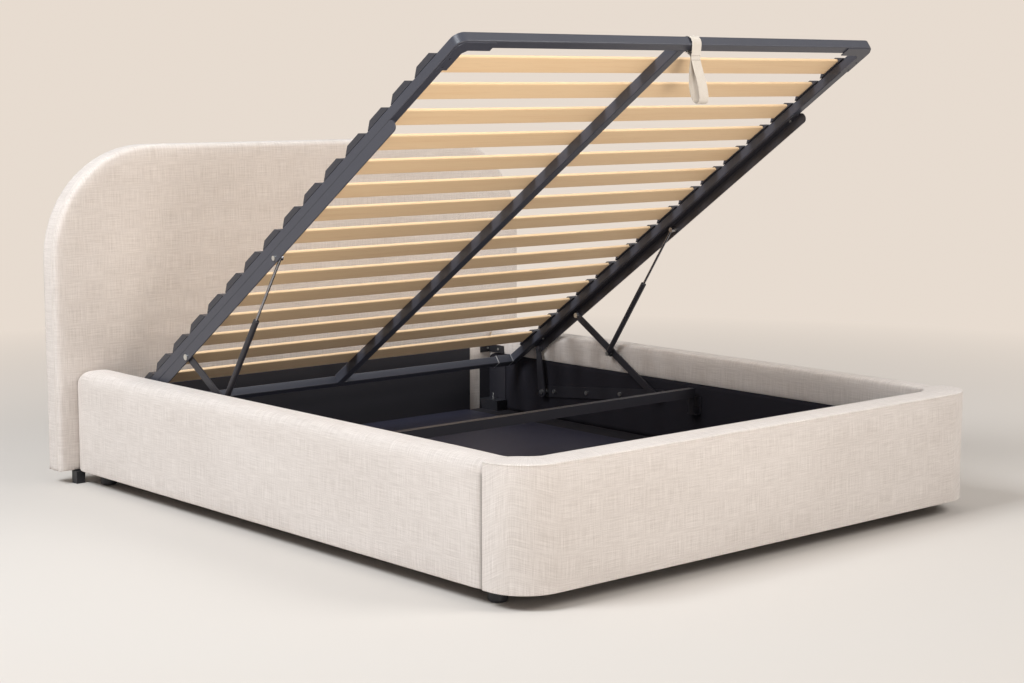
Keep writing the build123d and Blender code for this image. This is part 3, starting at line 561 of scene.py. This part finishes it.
# padded walls: rails and foot end, in metres
wallLook = {
    "inner": 0.810,
    "outer": 0.900,
    "top": 0.360,
    "bottom": 0.040,
    "bandBottom": 0.262,
    "rail": {
        "innerRound": 0.010,
        "topRound": 0.026,
        "lowRound": 0.004,
        # how far the skin draws in at the seam and at the head, each as (reach, depth)
        "outAtSeam": (0.036, 0.012),
        "outAtHead": (0.022, 0.020),
        "topAtSeam": (0.26, 0.0035),
        "topAtHead": (0.058, 0.052),
        "lowAtHead": (0.030, 0.016),
        "inAtSeam": (0.006, 0.002),
        "inAtHead": (0.012, 0.005),
        # painted shade by the seam: a dark line and a soft shade beside it, each as (depth of the shade,
        # reach)
        "paintedSeamLine": (0.80, 0.0050),
        "seamShade": (0.26, 0.016),
    },
    "foot": {
        "innerRound": 0.006,
        "topRound": 0.0040,
        "lowRound": 0.002,
        "foldDepth": 0.0014,
        "topDrop": 0.0012,
        "outAtSeam": (0.0035, 0.0035),
        "topAtSeam": (0.10, 0.0022),
        "lowAtSeam": (0.004, 0.002),
        "inAtSeam": (0.006, 0.002),
        # painted shade by the seam: a dark line, as (depth of the shade, reach)
        "paintedSeamLine": (0.5, 0.0018),
    },
    "rimCorner": 0.072,  # the well's foot corners at the rim, rounder than below
    "rimFrom": 0.292,
    "boardIn": 0.004,  # board behind the inner face, and its far side
    "boardOut": 0.022,
    "boardLow": 0.043,
    "boardHigh": 0.335,
    "headEnd": 1.0108,
    "seam": -0.946,
    "seamGap": 0.0006,
    "footInner": -0.988,
    "footOuter": -1.088,
    "outerCorner": 0.117,
    "innerCorner": 0.054,
    "pressure": 3.0,
    "cap": 0.0035,
}


def wallSection(shape):
    # closed section of the cover round its board, as (share of the way from the inner to the
    # outer face, metres added to that, height, kind): inner band up, over the top, down the
    # outside, under the board and round the slot that holds it
    look = wallLook
    top, low, inner = look["top"], look["bottom"], shape["innerRound"]
    topRound, lowRound, fold = shape["topRound"], shape["lowRound"], shape.get("foldDepth", 0)
    quarter = np.linspace(0, math.pi / 2, 5)
    rows = [(0, look["boardIn"], look["bandBottom"], "slot"), (0, 0.0018, look["bandBottom"], "skin")]
    rows += [(0, 0.0, z, "band") for z in np.linspace(look["bandBottom"] + 0.002, top - inner, 9)]
    rows += [(0, inner * (1 - math.cos(a)), top - inner + inner * math.sin(a), "top") for a in quarter[1:]]
    run = np.linspace(0, 1, 7)[1:-1]
    rows += [(t, inner * (1 - t) - topRound * t, top + 0.0012 * math.sin(math.pi * t), "top") for t in run]
    turn = np.linspace(0, math.pi / 2, 7)
    rows += [(1, -topRound * (1 - math.sin(a)), top - topRound * (1 - math.cos(a)), "top") for a in turn]
    start = top - topRound
    if fold:
        # a shallow crease where the top panel is sewn to the face
        rows += [
            (1, -fold * 0.6, start - 0.0007, "skin"),
            (1, -fold, start - 0.0018, "skin"),
            (1, -fold * 0.45, start - 0.0042, "face"),
        ]
        start -= 0.0042
    rows += [(1, 0.0, z, "face") for z in np.linspace(start, low + lowRound, 24)[1:]]
    rows += [
        (1, -lowRound * (1 - math.cos(a)), low + lowRound * (1 - math.sin(a)), "low")
        for a in quarter[1:]
    ]
    rows += [(0.66, 0.0, low, "slot"), (0.45, 0.0, low, "slot"), (0, look["boardIn"], low, "slot")]
    rows += [(0, look["boardIn"], look["boardLow"], "slot"), (0, look["boardOut"], look["boardLow"], "slot")]
    rows += [(0, look["boardOut"], z, "slot") for z in (0.14, 0.24, look["boardHigh"])]
    rows += [(0, look["boardIn"], look["boardHigh"], "slot"), rows[0]]
    share, offset, height, kind = zip(*rows)
    return np.array(share), np.array(offset), np.array(height), np.array(kind)


def paddedWall(name, inner, outer, board, drops, shape, give, near, lean):
    # the section carried along two lines, one on the inner and one on the outer face; drops
    # pull the outer face, the top, the underside and the inner face in at the ends, near
    # tells how deep in the painted shade of the seam each place on the outer face lies, and lean how
    # far the inner face comes in at the rim; the underside in the slot gets painted shade too
    share, offset, height, kind = wallSection(shape)
    outDrop, topDrop, lowRise, inDrop = (d[:, None] for d in drops)
    width = np.linalg.norm(outer - inner, axis=1)[:, None]
    across = ((outer - inner) / width)[:, None, :]
    skin = (kind != "slot")[None, :]
    reach = share * width + offset
    reach = reach - np.where(skin, np.clip(reach / width, 0, 1) * outDrop, 0)
    reach = reach + np.where(skin, np.clip(1 - reach / width, 0, 1) * inDrop, 0)
    rim = np.clip((height - wallLook["rimFrom"]) / (wallLook["top"] - wallLook["rimFrom"]), 0, 1)
    leaning = np.reshape(lean, (-1, 1)) * (3 - 2 * rim) * rim**2
    reach = reach - np.where(skin, np.clip(1 - reach / width, 0, 1) * leaning, 0)
    level = (height - wallLook["bottom"]) / (wallLook["top"] - wallLook["bottom"])
    raised = height - np.where(skin, level**2 * topDrop, 0) + np.where(skin, (1 - level) ** 4 * lowRise, 0)
    plan = inner[:, None, :] + across * reach[:, :, None]
    if board is not None:
        slotLine = board[0][:, None, :], board[1][:, None, :]
        onSlot = (kind == "slot") & (share == 0)
        side = np.where(np.isclose(offset, wallLook["boardOut"]), 1, 0)[None, :, None]
        plan = np.where(onSlot[None, :, None], np.where(side == 1, slotLine[1], slotLine[0]), plan)
    points = np.concatenate([plan, raised[:, :, None]], axis=2)
    run = np.broadcast_to(measured(outer[:, None, :], 0), points.shape[:2])
    flat = np.stack([run, measured(points, 1)], axis=2)
    mesh = gridMesh(name, points, flat, closeEnds=True)
    piece = newObject(name, mesh, linen)
    source = takeSpots(mesh)
    kinds = np.tile(kind, len(inner))[source]
    station = np.repeat(np.arange(len(inner)), len(kind))[source]
    loose = give[station] * np.select(
        [kinds == "band", kinds == "top", kinds == "face"], [1.0, 0.75, 0.9], 0.0
    )
    # painted shade by the seam, on the outer face up to just under the top
    shade = np.where(skin[0], np.clip(level * 40 - 39.6, 0, 1), 0)
    shade = np.clip(1 - np.maximum(shade, 0), 0, 1) * np.isin(kind, ("face", "low", "skin"))
    # painted shade under the cover: the underside rows in the slot are darkened, for the shade under the
    # rail
    under = 0.9 * ((kind == "slot") & (share > 0) & (height < 0.05))
    paintedShade = np.maximum(near[:, None] * shade[None, :], under[None, :]).ravel()[source]
    mesh.attributes.new("seam", "FLOAT", "POINT").data.foreach_set("value", paintedShade.astype(np.float32))
    slack = np.where(kinds == "band", 1.0, 0.12) * give[station]
    puff(piece, 1 - loose, slack, wallLook["pressure"], wallLook["cap"] * np.maximum(loose, 0.02))
    refine(piece)
    return piece


def quarterDrop(distance, reach, depth):
    # how far a rounded end draws in: a quarter of an ellipse, reach along and depth across
    near = np.clip(1 - distance / reach, 0, 1)
    return depth * (1 - np.sqrt(np.maximum(1 - near**2, 0)))


def fadingDrop(distance, reach, depth):
    # how far a long soft end draws in: a parabola that starts at its full depth
    return depth * np.clip(1 - distance / reach, 0, 1) ** 2


def rimLean(line):
    # how far each point of the inner line lies outside the rounder corner that the rim has
    look = wallLook
    radius = look["rimCorner"]
    x = np.abs(line[:, 0]) - (look["inner"] - radius)
    y = (look["footInner"] + radius) - line[:, 1]
    return np.where((x > 0) & (y > 0), np.maximum(np.hypot(x, y) - radius, 0), 0)


def railCover(side):
    look = wallLook
    start, end = look["seam"] + look["seamGap"], look["headEnd"]
    along = spread(
        (start, start + 0.006, 4), (start + 0.006, start + 0.045, 6), (start + 0.045, end - 0.062, 134),
        (end - 0.062, end - 0.012, 8), (end - 0.012, end, 6),
    )
    ones = np.ones_like(along)
    inner = np.stack([side * look["inner"] * ones, along], 1)
    outer = np.stack([side * look["outer"] * ones, along], 1)
    fromSeam, fromHead = along - start, end - along
    shape = look["rail"]
    drops = (
        quarterDrop(fromSeam, *shape["outAtSeam"]) + quarterDrop(fromHead, *shape["outAtHead"]),
        fadingDrop(fromSeam, *shape["topAtSeam"]) + quarterDrop(fromHead, *shape["topAtHead"]),
        quarterDrop(fromHead, *shape["lowAtHead"]),
        quarterDrop(fromSeam, *shape["inAtSeam"]) + quarterDrop(fromHead, *shape["inAtHead"]),
    )
    give = np.clip((fromSeam - 0.01) / 0.05, 0, 1) * np.clip((fromHead - 0.02) / 0.06, 0, 1)
    name = "railCover" + ("Left" if side < 0 else "Right")
    # painted shade by the seam: a dark line at the seam and a softer shade that fades along the rail
    (line, lineReach), (soft, softReach) = shape["paintedSeamLine"], shape["seamShade"]
    near = line * np.exp(-((fromSeam / lineReach) ** 2)) + soft * np.exp(-fromSeam / softReach)
    near = np.clip(near, 0, 0.9)
    piece = paddedWall(name, inner, outer, None, drops, shape, give, near, rimLean(inner))
    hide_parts("rail_cover_left" if side < 0 else "rail_cover_right")
    return piece


def footCover():
    # from the left seam round both corners to the right seam; the inner line turns on its
    # own smaller corner, and the boards meet square
    look = wallLook
    seam = look["seam"] - look["seamGap"]
    outerTurn = look["footOuter"] + look["outerCorner"]
    straight = seam - outerTurn
    length = straight + look["outerCorner"] * math.pi / 2
    gone = spread((0, 0.008, 6), (0.008, straight, 2), (straight, length, 17))
    angle = np.clip((gone - straight) / look["outerCorner"], 0, math.pi / 2)
    cornerX = look["outer"] - look["outerCorner"] * (1 - np.cos(angle))
    cornerY = np.where(gone < straight, seam - gone, outerTurn - look["outerCorner"] * np.sin(angle))
    middle = look["footInner"] + look["innerCorner"]
    firstAngle = math.asin((middle - seam) / look["innerCorner"])
    inAngle = firstAngle + (math.pi / 2 - firstAngle) * gone / length
    inX = look["inner"] - look["innerCorner"] * (1 - np.cos(inAngle))
    inY = middle - look["innerCorner"] * np.sin(inAngle)
    boardX = np.full_like(gone, look["inner"])
    half = np.linspace(1, 0, 64)[1:]

    def toMiddle(x, y, level):
        # the corner's points, and the straight run from there to the middle of the foot end
        straightRun = np.stack([half * x[-1], np.full(half.size, level)], 1)
        return np.concatenate([np.stack([x, y], 1), straightRun])

    lines = [toMiddle(inX, inY, look["footInner"]), toMiddle(cornerX, cornerY, look["footOuter"])]
    for depth in (look["boardIn"], look["boardOut"]):
        cornerSpan = (seam - (look["footInner"] - depth)) + (boardX[0] + depth - inX[-1])
        walked = gone / length * cornerSpan
        legs = seam - (look["footInner"] - depth)
        x = np.where(walked < legs, boardX + depth, boardX + depth - (walked - legs))
        y = np.where(walked < legs, seam - walked, look["footInner"] - depth)
        lines.append(toMiddle(x, y, look["footInner"] - depth))
    inner, outer, *board = [np.concatenate([line * (-1, 1), line[-2::-1]]) for line in lines]
    walk = measured(outer[:, None, :], 0)[:, 0]
    fromEnd = np.minimum(walk, walk[-1] - walk)
    shape = look["foot"]
    drops = (
        quarterDrop(fromEnd, *shape["outAtSeam"]),
        shape["topDrop"] + fadingDrop(fromEnd, *shape["topAtSeam"]),
        quarterDrop(fromEnd, *shape["lowAtSeam"]),
        quarterDrop(fromEnd, *shape["inAtSeam"]),
    )
    give = np.clip((fromEnd - 0.008) / 0.03, 0, 1)
    # painted shade by the seam: a dark line at each end of the foot cover
    line, lineReach = shape["paintedSeamLine"]
    near = line * np.exp(-((fromEnd / lineReach) ** 2))
    piece = paddedWall("footCover", inner, outer, board, drops, shape, give, near, rimLean(inner))
    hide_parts("foot_cover")
    return piece


railCover(-1)
railCover(1)
footCover()
print("rails and foot end done")

# headboard: padded front, side band and back cloth
headLook = {
    "half": 0.9575,
    "low": 0.040,
    "high": 1.055,
    "corner": 0.355,
    "front": 1.0128,
    "seam": 1.0318,
    "edgeRound": 0.018,
    "backSeam": 1.0850,
    "back": 1.0880,
    "padding": 0.012,
    "crown": 0.0012,
    "bandFull": 0.0016,  # how far the side band stands out in the middle, and dips at its seams
    "bandDip": 0.0026,
    "clothThick": 0.001,
    "staplePitch": 0.09,
    "staplePull": 0.0005,
    "clothSag": 0.0009,
    "pressure": 2.2,
    "cap": 0.0018,
}


def headEdge(inset, count):
    # outline drawn in by the inset: up the left side, round the corners over the top, down the
    # right side and back along the bottom, as (x, z) with even steps on each stretch
    look = headLook
    half, low, high = look["half"] - inset, look["low"] + inset, look["high"] - inset
    radius = look["corner"] - inset
    turn = np.linspace(0, math.pi / 2, count["turn"], endpoint=False)
    side = np.linspace(0, 1, count["side"], endpoint=False)
    top = np.linspace(0, 1, count["top"], endpoint=False)
    bend = high - radius
    left = np.stack([np.full_like(side, -half), low + (bend - low) * side], 1)
    leftTurn = np.stack([radius - half - radius * np.cos(turn), bend + radius * np.sin(turn)], 1)
    over = np.stack([(radius - half) + 2 * (half - radius) * top, np.full_like(top, high)], 1)
    rightTurn = np.stack([half - radius + radius * np.sin(turn), bend + radius * np.cos(turn)], 1)
    right = np.stack([np.full_like(side, half), bend - (bend - low) * side], 1)
    floorRun = np.stack([half - 2 * half * top, np.full_like(top, low)], 1)
    loop = np.concatenate([left, leftTurn, over, rightTurn, right, floorRun])
    return np.concatenate([loop, loop[:1]])


def insetOf(x, z):
    # distance in from the nearest edge of the headboard's outline
    look = headLook
    flatEdge = np.minimum(np.minimum(look["half"] - np.abs(x), look["high"] - z), (z - look["low"]) * 3)
    cornerX, cornerZ = look["half"] - look["corner"], look["high"] - look["corner"]
    inCorner = (np.abs(x) > cornerX) & (z > cornerZ)
    round_ = look["corner"] - np.hypot(np.abs(x) - cornerX, z - cornerZ)
    return np.where(inCorner, round_, flatEdge)


def headWidth(heights, inset):
    # half the headboard's width at each height, inside its outline drawn in by the inset
    look = headLook
    half, corner, bend = look["half"] - inset, look["corner"] - inset, look["high"] - look["corner"]
    turned = half - corner + np.sqrt(np.maximum(corner**2 - (heights - bend) ** 2, 0))
    return np.where(heights > bend, turned, half)


def headPad():
    # rows up the headboard, each stretched to the outline's width at its height; the face falls
    # back to the seam in a quarter round all the way along the edge, and a flat back closes it
    look = headLook
    bend = look["high"] - look["corner"]
    rise = spread((0, math.radians(70), 22), (math.radians(70), math.pi / 2, 12))
    steps = np.array([0, 0.0012, 0.003, 0.006, 0.010, 0.015, 0.022, 0.034])
    upright = spread((look["low"] + 0.048, bend, 44))[:-1]
    heights = np.concatenate([look["low"] + steps, upright, bend + look["corner"] * np.sin(rise)])
    width = headWidth(heights, 0)
    inner = spread((-look["half"] + 0.048, look["half"] - 0.048, 124))
    across = np.concatenate([-look["half"] + steps, inner, look["half"] - steps[::-1]]) / look["half"]
    x, z = across[None, :] * width[:, None], np.broadcast_to(heights[:, None], (len(heights), len(across)))
    edge = look["edgeRound"]
    inset = np.clip(insetOf(x, z), 0, edge)
    fall = edge - np.sqrt(np.maximum(edge**2 - (edge - inset) ** 2, 0))
    crown = look["crown"] * np.clip(insetOf(x, z) / 0.25, 0, 1) ** 0.5
    faceY = look["front"] + 0.0010 + fall * (look["seam"] - look["front"] - 0.0012) / edge - crown
    face = np.stack([x, faceY, z], 2)
    flat = np.stack([x, z], 2)
    rear = face.copy()
    rear[:, :, 1] = look["seam"] - 0.0002
    points = np.concatenate([face, rear[::-1]])
    flats = np.concatenate([flat, flat[::-1]])
    mesh = gridMesh("headboardPad", points, flats)
    piece = newObject("headboardPad", mesh, linen)
    source = takeSpots(mesh)
    depth = insetOf(x, z).ravel()
    onFace = source < depth.size
    inward = np.where(onFace, depth[np.minimum(source, depth.size - 1)], 0)
    loose = np.clip((inward - 0.004) / 0.03, 0, 1)
    puff(piece, 1 - loose, 0.12 * loose, look["pressure"], look["cap"] * np.maximum(loose, 0.02))
    refine(piece)
    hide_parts("headboard_front_pad")
    return piece


def headBand():
    # a strip round the edge between two seams, a little full in the middle, with its underside
    # on the board
    look = headLook
    count = {"side": 44, "turn": 36, "top": 84}
    rows = []
    depth = look["backSeam"] - look["seam"]
    for share in spread((0, 0.12, 4), (0.12, 0.88, 9), (0.88, 1, 4)):
        dips = max(0.0, 1 - share / 0.10) ** 2 + max(0.0, 1 - (1 - share) / 0.10) ** 2
        fullness = look["bandFull"] * math.sin(math.pi * share) ** 0.6 - look["bandDip"] * dips
        rows.append((-fullness, look["seam"] + depth * share))
    rows += [(look["padding"], look["backSeam"]), (look["padding"], look["seam"]), rows[0]]
    outline = np.stack([headEdge(inset, count) for inset, _ in rows])
    place = np.broadcast_to(np.array([y for _, y in rows])[:, None, None], (*outline.shape[:2], 1))
    points = np.concatenate([outline[:, :, :1], place, outline[:, :, 1:]], 2)
    flat = np.stack([measured(points, 1), measured(points, 0)], 2)
    mesh = gridMesh("headboardBand", points, flat)
    takeSpots(mesh)
    piece = newObject("headboardBand", mesh, linen)
    refine(piece)
    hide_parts("headboard_side_band")
    return piece


def backCloth():
    # dust cloth stretched over the back, drawn a little in between its staples
    look = headLook
    inset = 0.001
    bend = look["high"] - look["corner"]
    rise = np.linspace(0, math.pi / 2, 20)
    upright = np.linspace(look["low"] + inset, bend, 40)[:-1]
    heights = np.concatenate([upright, bend + (look["corner"] - inset) * np.sin(rise)])
    width = headWidth(heights, inset)
    across = np.linspace(-1, 1, 97)
    x, z = across[None, :] * width[:, None], np.broadcast_to(heights[:, None], (len(heights), len(across)))
    edge = np.clip(insetOf(x, z), 0, 0.06)
    staples = np.sin(x * 2 * math.pi / look["staplePitch"])
    pull = look["staplePull"] * staples * (1 - edge / 0.06) * np.clip(edge / 0.01, 0, 1)
    sag = look["clothSag"] * np.clip(insetOf(x, z) / 0.3, 0, 1)
    y = look["back"] - 0.0012 - sag + pull
    points = np.stack([x, y, z], 2)
    mesh = gridMesh("headboardBackCloth", points, np.stack([x, z], 2))
    takeSpots(mesh)
    piece = newObject("headboardBackCloth", mesh, linen)
    if sum(face.normal.y for face in mesh.polygons) < 0:
        mesh.flip_normals()
    thick = piece.modifiers.new("cloth", "SOLIDIFY")
    thick.thickness = look["clothThick"]
    thick.offset = -1
    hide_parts("headboard_back_cloth")
    return piece


headPad()
headBand()
backCloth()
print("headboard done")

# black lining inside the well
liningLook = {
    "face": 0.8127,
    "foot": -0.9907,
    "head": 1.0118,
    "low": 0.056,
    "high": 0.2632,
    "wave": 0.0004,
    "thick": 0.0009,
}


def liningSheet(name, start, end, node):
    # a flat run of cloth between its top and bottom staples, with faint upright waves
    look = liningLook
    start, end = np.array(start), np.array(end)
    length = float(np.linalg.norm(end - start))
    along = np.linspace(0, length, int(length / 0.02) + 1)
    up = np.linspace(look["low"], look["high"], 14)
    s, z = np.meshgrid(along, up)
    toWell = np.array([-(end - start)[1], (end - start)[0]]) / length
    free = np.sin(math.pi * (z - look["low"]) / (look["high"] - look["low"]))
    wave = look["wave"] * free * (np.sin(s * 41.0 + 2.0 * np.sin(s * 7.3)) + 0.6 * np.sin(s * 93.0 + 1.3))
    plan = start + (end - start) * (s / length)[:, :, None] + toWell * wave[:, :, None]
    points = np.concatenate([plan, z[:, :, None]], 2)
    mesh = gridMesh(name, points, np.stack([s, z], 2))
    takeSpots(mesh)
    piece = newObject(name, mesh, blackCloth)
    middle = mesh.polygons[len(mesh.polygons) // 2].normal
    if middle.x * toWell[0] + middle.y * toWell[1] < 0:
        mesh.flip_normals()
    thick = piece.modifiers.new("cloth", "SOLIDIFY")
    thick.thickness = look["thick"]
    thick.offset = -1
    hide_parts(node)
    return piece


wall, foot, head = liningLook["face"], liningLook["foot"], liningLook["head"]
liningSheet("liningRight", (wall, foot), (wall, head), "rail_lining_right")
liningSheet("liningLeft", (-wall, head), (-wall, foot), "rail_lining_left")
liningSheet("liningFoot", (-wall, foot), (wall, foot), "foot_lining")
print("lining done")

# pull strap: webbing round the foot bar, sewn under it, with a hanging hand loop
strapLook = {
    "centre": (-0.733304, 1.355970),  # middle of the foot bar's end, along and up
    "middle": 0.034,
    "width": 0.036,
    "thickness": 0.0023,
    "lean": 0.020,  # how far the loop hangs off to the right at its bottom
    "leanFrom": 0.038,
    "leanTo": 0.130,
    # the strap's line in mm from the middle of the bar: over the bar, down in front to the
    # stitches, round the hand loop, up to the stitches again and behind the bar
    "line": [
        (0, 20.9), (-9, 19), (-16.5, 13), (-20.6, 4.5), (-21, -4), (-19.8, -14), (-18.4, -26), (-17.2, -38),
        (-19.2, -55), (-24, -80), (-28, -105), (-29, -130), (-26.5, -148), (-20, -158.5), (-11.5, -161.5),
        (-3, -158), (2.5, -148), (4.8, -134), (4, -110), (-1, -85), (-8, -60), (-12.8, -46), (-14.3, -38),
        (-11.5, -31.5), (-3, -26), (8, -20.5), (16.5, -13), (20.7, -4), (20.6, 4.5), (16.5, 13), (9, 19),
    ],
    "stitchAt": 7,  # which of those points the stitches lie on
}


def strapLine():
    # the points joined by a closed curve: each stretch is a cubic through its two ends, with
    # slopes from the points on either side, and the whole smoothed a little
    look = strapLook
    knots = np.array(look["line"]) / 1000
    before, after, later = np.roll(knots, 1, 0), np.roll(knots, -1, 0), np.roll(knots, -2, 0)
    share = np.linspace(0, 1, 6, endpoint=False)[None, :, None]
    p0, p1, p2, p3 = (k[:, None, :] for k in (before, knots, after, later))
    curve = 0.5 * (
        2 * p1 + (p2 - p0) * share + (2 * p0 - 5 * p1 + 4 * p2 - p3) * share**2
        + (3 * p1 - p0 - 3 * p2 + p3) * share**3
    )
    line = curve.reshape(-1, 2)
    for _ in range(2):
        line = (np.roll(line, 1, 0) + 2 * line + np.roll(line, -1, 0)) / 4
    return np.array(look["centre"]) + np.concatenate([line, line[:1]])


def pullStrap():
    # a flat section with soft edges carried round the line
    look = strapLook
    line = strapLine()
    ahead = np.roll(line[:-1], -1, 0) - np.roll(line[:-1], 1, 0)
    ahead = np.concatenate([ahead, ahead[:1]])
    ahead /= np.linalg.norm(ahead, axis=1)[:, None]
    normal = np.stack([-ahead[:, 1], ahead[:, 0]], 1)
    half, thick = look["width"] / 2, look["thickness"] / 2
    top = np.array([(-half, 0), (-half + 0.0006, thick * 0.8), (-half + 0.0018, thick)])
    side = np.concatenate([top, [(t * half, thick) for t in (-0.5, 0, 0.5)], top[::-1] * (-1, 1)])
    section = np.concatenate([side, side[-2:0:-1] * (1, -1), side[:1]])
    along = line[:, None, :] + normal[:, None, :] * section[None, :, 1:]
    depth = look["centre"][1] - line[:, 1]
    fallen = np.clip((depth - look["leanFrom"]) / (look["leanTo"] - look["leanFrom"]), 0, 1.3)
    x = look["middle"] + section[None, :, 0] + look["lean"] * fallen[:, None] ** 1.2
    points = np.stack([x, along[:, :, 0], along[:, :, 1]], 2)
    run = measured(line[:, None, :], 0)
    run = run - run[look["stitchAt"] * 6]
    flat = np.stack([np.broadcast_to(section[None, :, 0], x.shape), np.broadcast_to(run, x.shape)], 2)
    mesh = gridMesh("pullStrap", points, flat)
    takeSpots(mesh)
    piece = newObject("pullStrap", mesh, webbing, "pull_strap")
    refine(piece)
    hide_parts("pull_strap")
    return piece


pullStrap()
print("strap done")

# stage
stageLook = {
    "floorSize": 60.0,
    "wallColour": (0.800, 0.712, 0.630),
    "floorColour": (0.650, 0.605, 0.560),
    "floorFade": [(0.09, 0.0), (0.235, 1.0)],  # where the floor turns into the backdrop, in 20 m
    "skyColour": (1.0, 0.985, 0.97),
    "skyStrength": 0.30,
}


def pavedFloor():
    # a pale floor near the object that fades into the backdrop's own colour further out
    finish = Finish("paleFloor", Base_Color=stageLook["floorColour"], Roughness=0.9)
    finish.set(Specular_IOR_Level=0.1)
    spot = finish.place()
    far = finish.node("VectorMath", {"operation": "LENGTH"}, out="Value", Vector=spot)
    fade = finish.node("ValToRGB", {"stops": stageLook["floorFade"]}, out="Color", Fac=far / 20.0)
    glow = finish.node("Emission", Color=stageLook["wallColour"], Strength=1.0)
    lit = Wire(finish.surface.outputs[0])
    finish.show(finish.node("MixShader", Fac=fade, Shader=lit, Shader_001=glow))
    return finish


floorMesh = bpy.data.meshes.new("floor")
half = stageLook["floorSize"]
floorCorners = [(-half, -half, 0), (half, -half, 0), (half, half, 0), (-half, half, 0)]
floorMesh.from_pydata(floorCorners, [], [(0, 1, 2, 3)])
floor = bpy.data.objects.new("floor", floorMesh)
bpy.context.scene.collection.objects.link(floor)
floorMesh.materials.append(pavedFloor().material)

world = bpy.data.worlds.new("studio")
bpy.context.scene.world = world
world.use_nodes = True
sky = Graph(world.node_tree)
daylight = sky.tree.nodes["Background"]
plug(daylight.inputs["Color"], stageLook["skyColour"])
plug(daylight.inputs["Strength"], stageLook["skyStrength"])
backdrop = sky.node("Background", Color=stageLook["wallColour"], Strength=1.0)
seen = sky.node("LightPath", out="Is Camera Ray")
lit = Wire(daylight.outputs[0])
sky.show(sky.node("MixShader", Fac=seen, Shader=lit, Shader_001=backdrop))

lamps = {
    "key": {
        "place": (-5.2, 0.2, 6.0),
        "aim": (0, 0, 0.3),
        "size": 3.0,
        "power": 520,
        "colour": (0.91, 0.955, 1.0),
    },
    "front": {
        "place": (3.6, -5.6, 5.2),
        "aim": (0, 0, 0.5),
        "size": 3.5,
        "power": 290,
        "colour": (1.0, 0.985, 0.965),
    },
    "low": {
        "place": (-2.0, -4.8, 0.7),
        "aim": (0.1, 0.1, 1.3),
        "size": 1.2,
        "power": 7.5,
        "colour": (1.0, 0.96, 0.91),
        "spread": 42,  # degrees, so that it reaches the slats over the foot end
    },
    "top": {
        "place": (-0.6, 0.9, 6.0),
        "aim": (0, 0, 0.3),
        "size": 4.0,
        "power": 30,
        "colour": (1.0, 0.99, 0.98),
    },
}
for name, lamp in lamps.items():
    data = bpy.data.lights.new(name, "AREA")
    data.size = lamp["size"]
    data.energy = lamp["power"]
    data.color = lamp["colour"]
    data.spread = math.radians(lamp.get("spread", 180))
    light = bpy.data.objects.new(name, data)
    bpy.context.scene.collection.objects.link(light)
    light.location = lamp["place"]
    light.visible_camera = False
    back = np.array(lamp["place"], float) - np.array(lamp["aim"], float)
    light.rotation_euler = (
        math.atan2(math.hypot(back[0], back[1]), back[2]),
        0,
        math.atan2(back[1], back[0]) + math.pi / 2,
    )
bpy.context.scene.view_settings.view_transform = "Standard"
print("stage done")
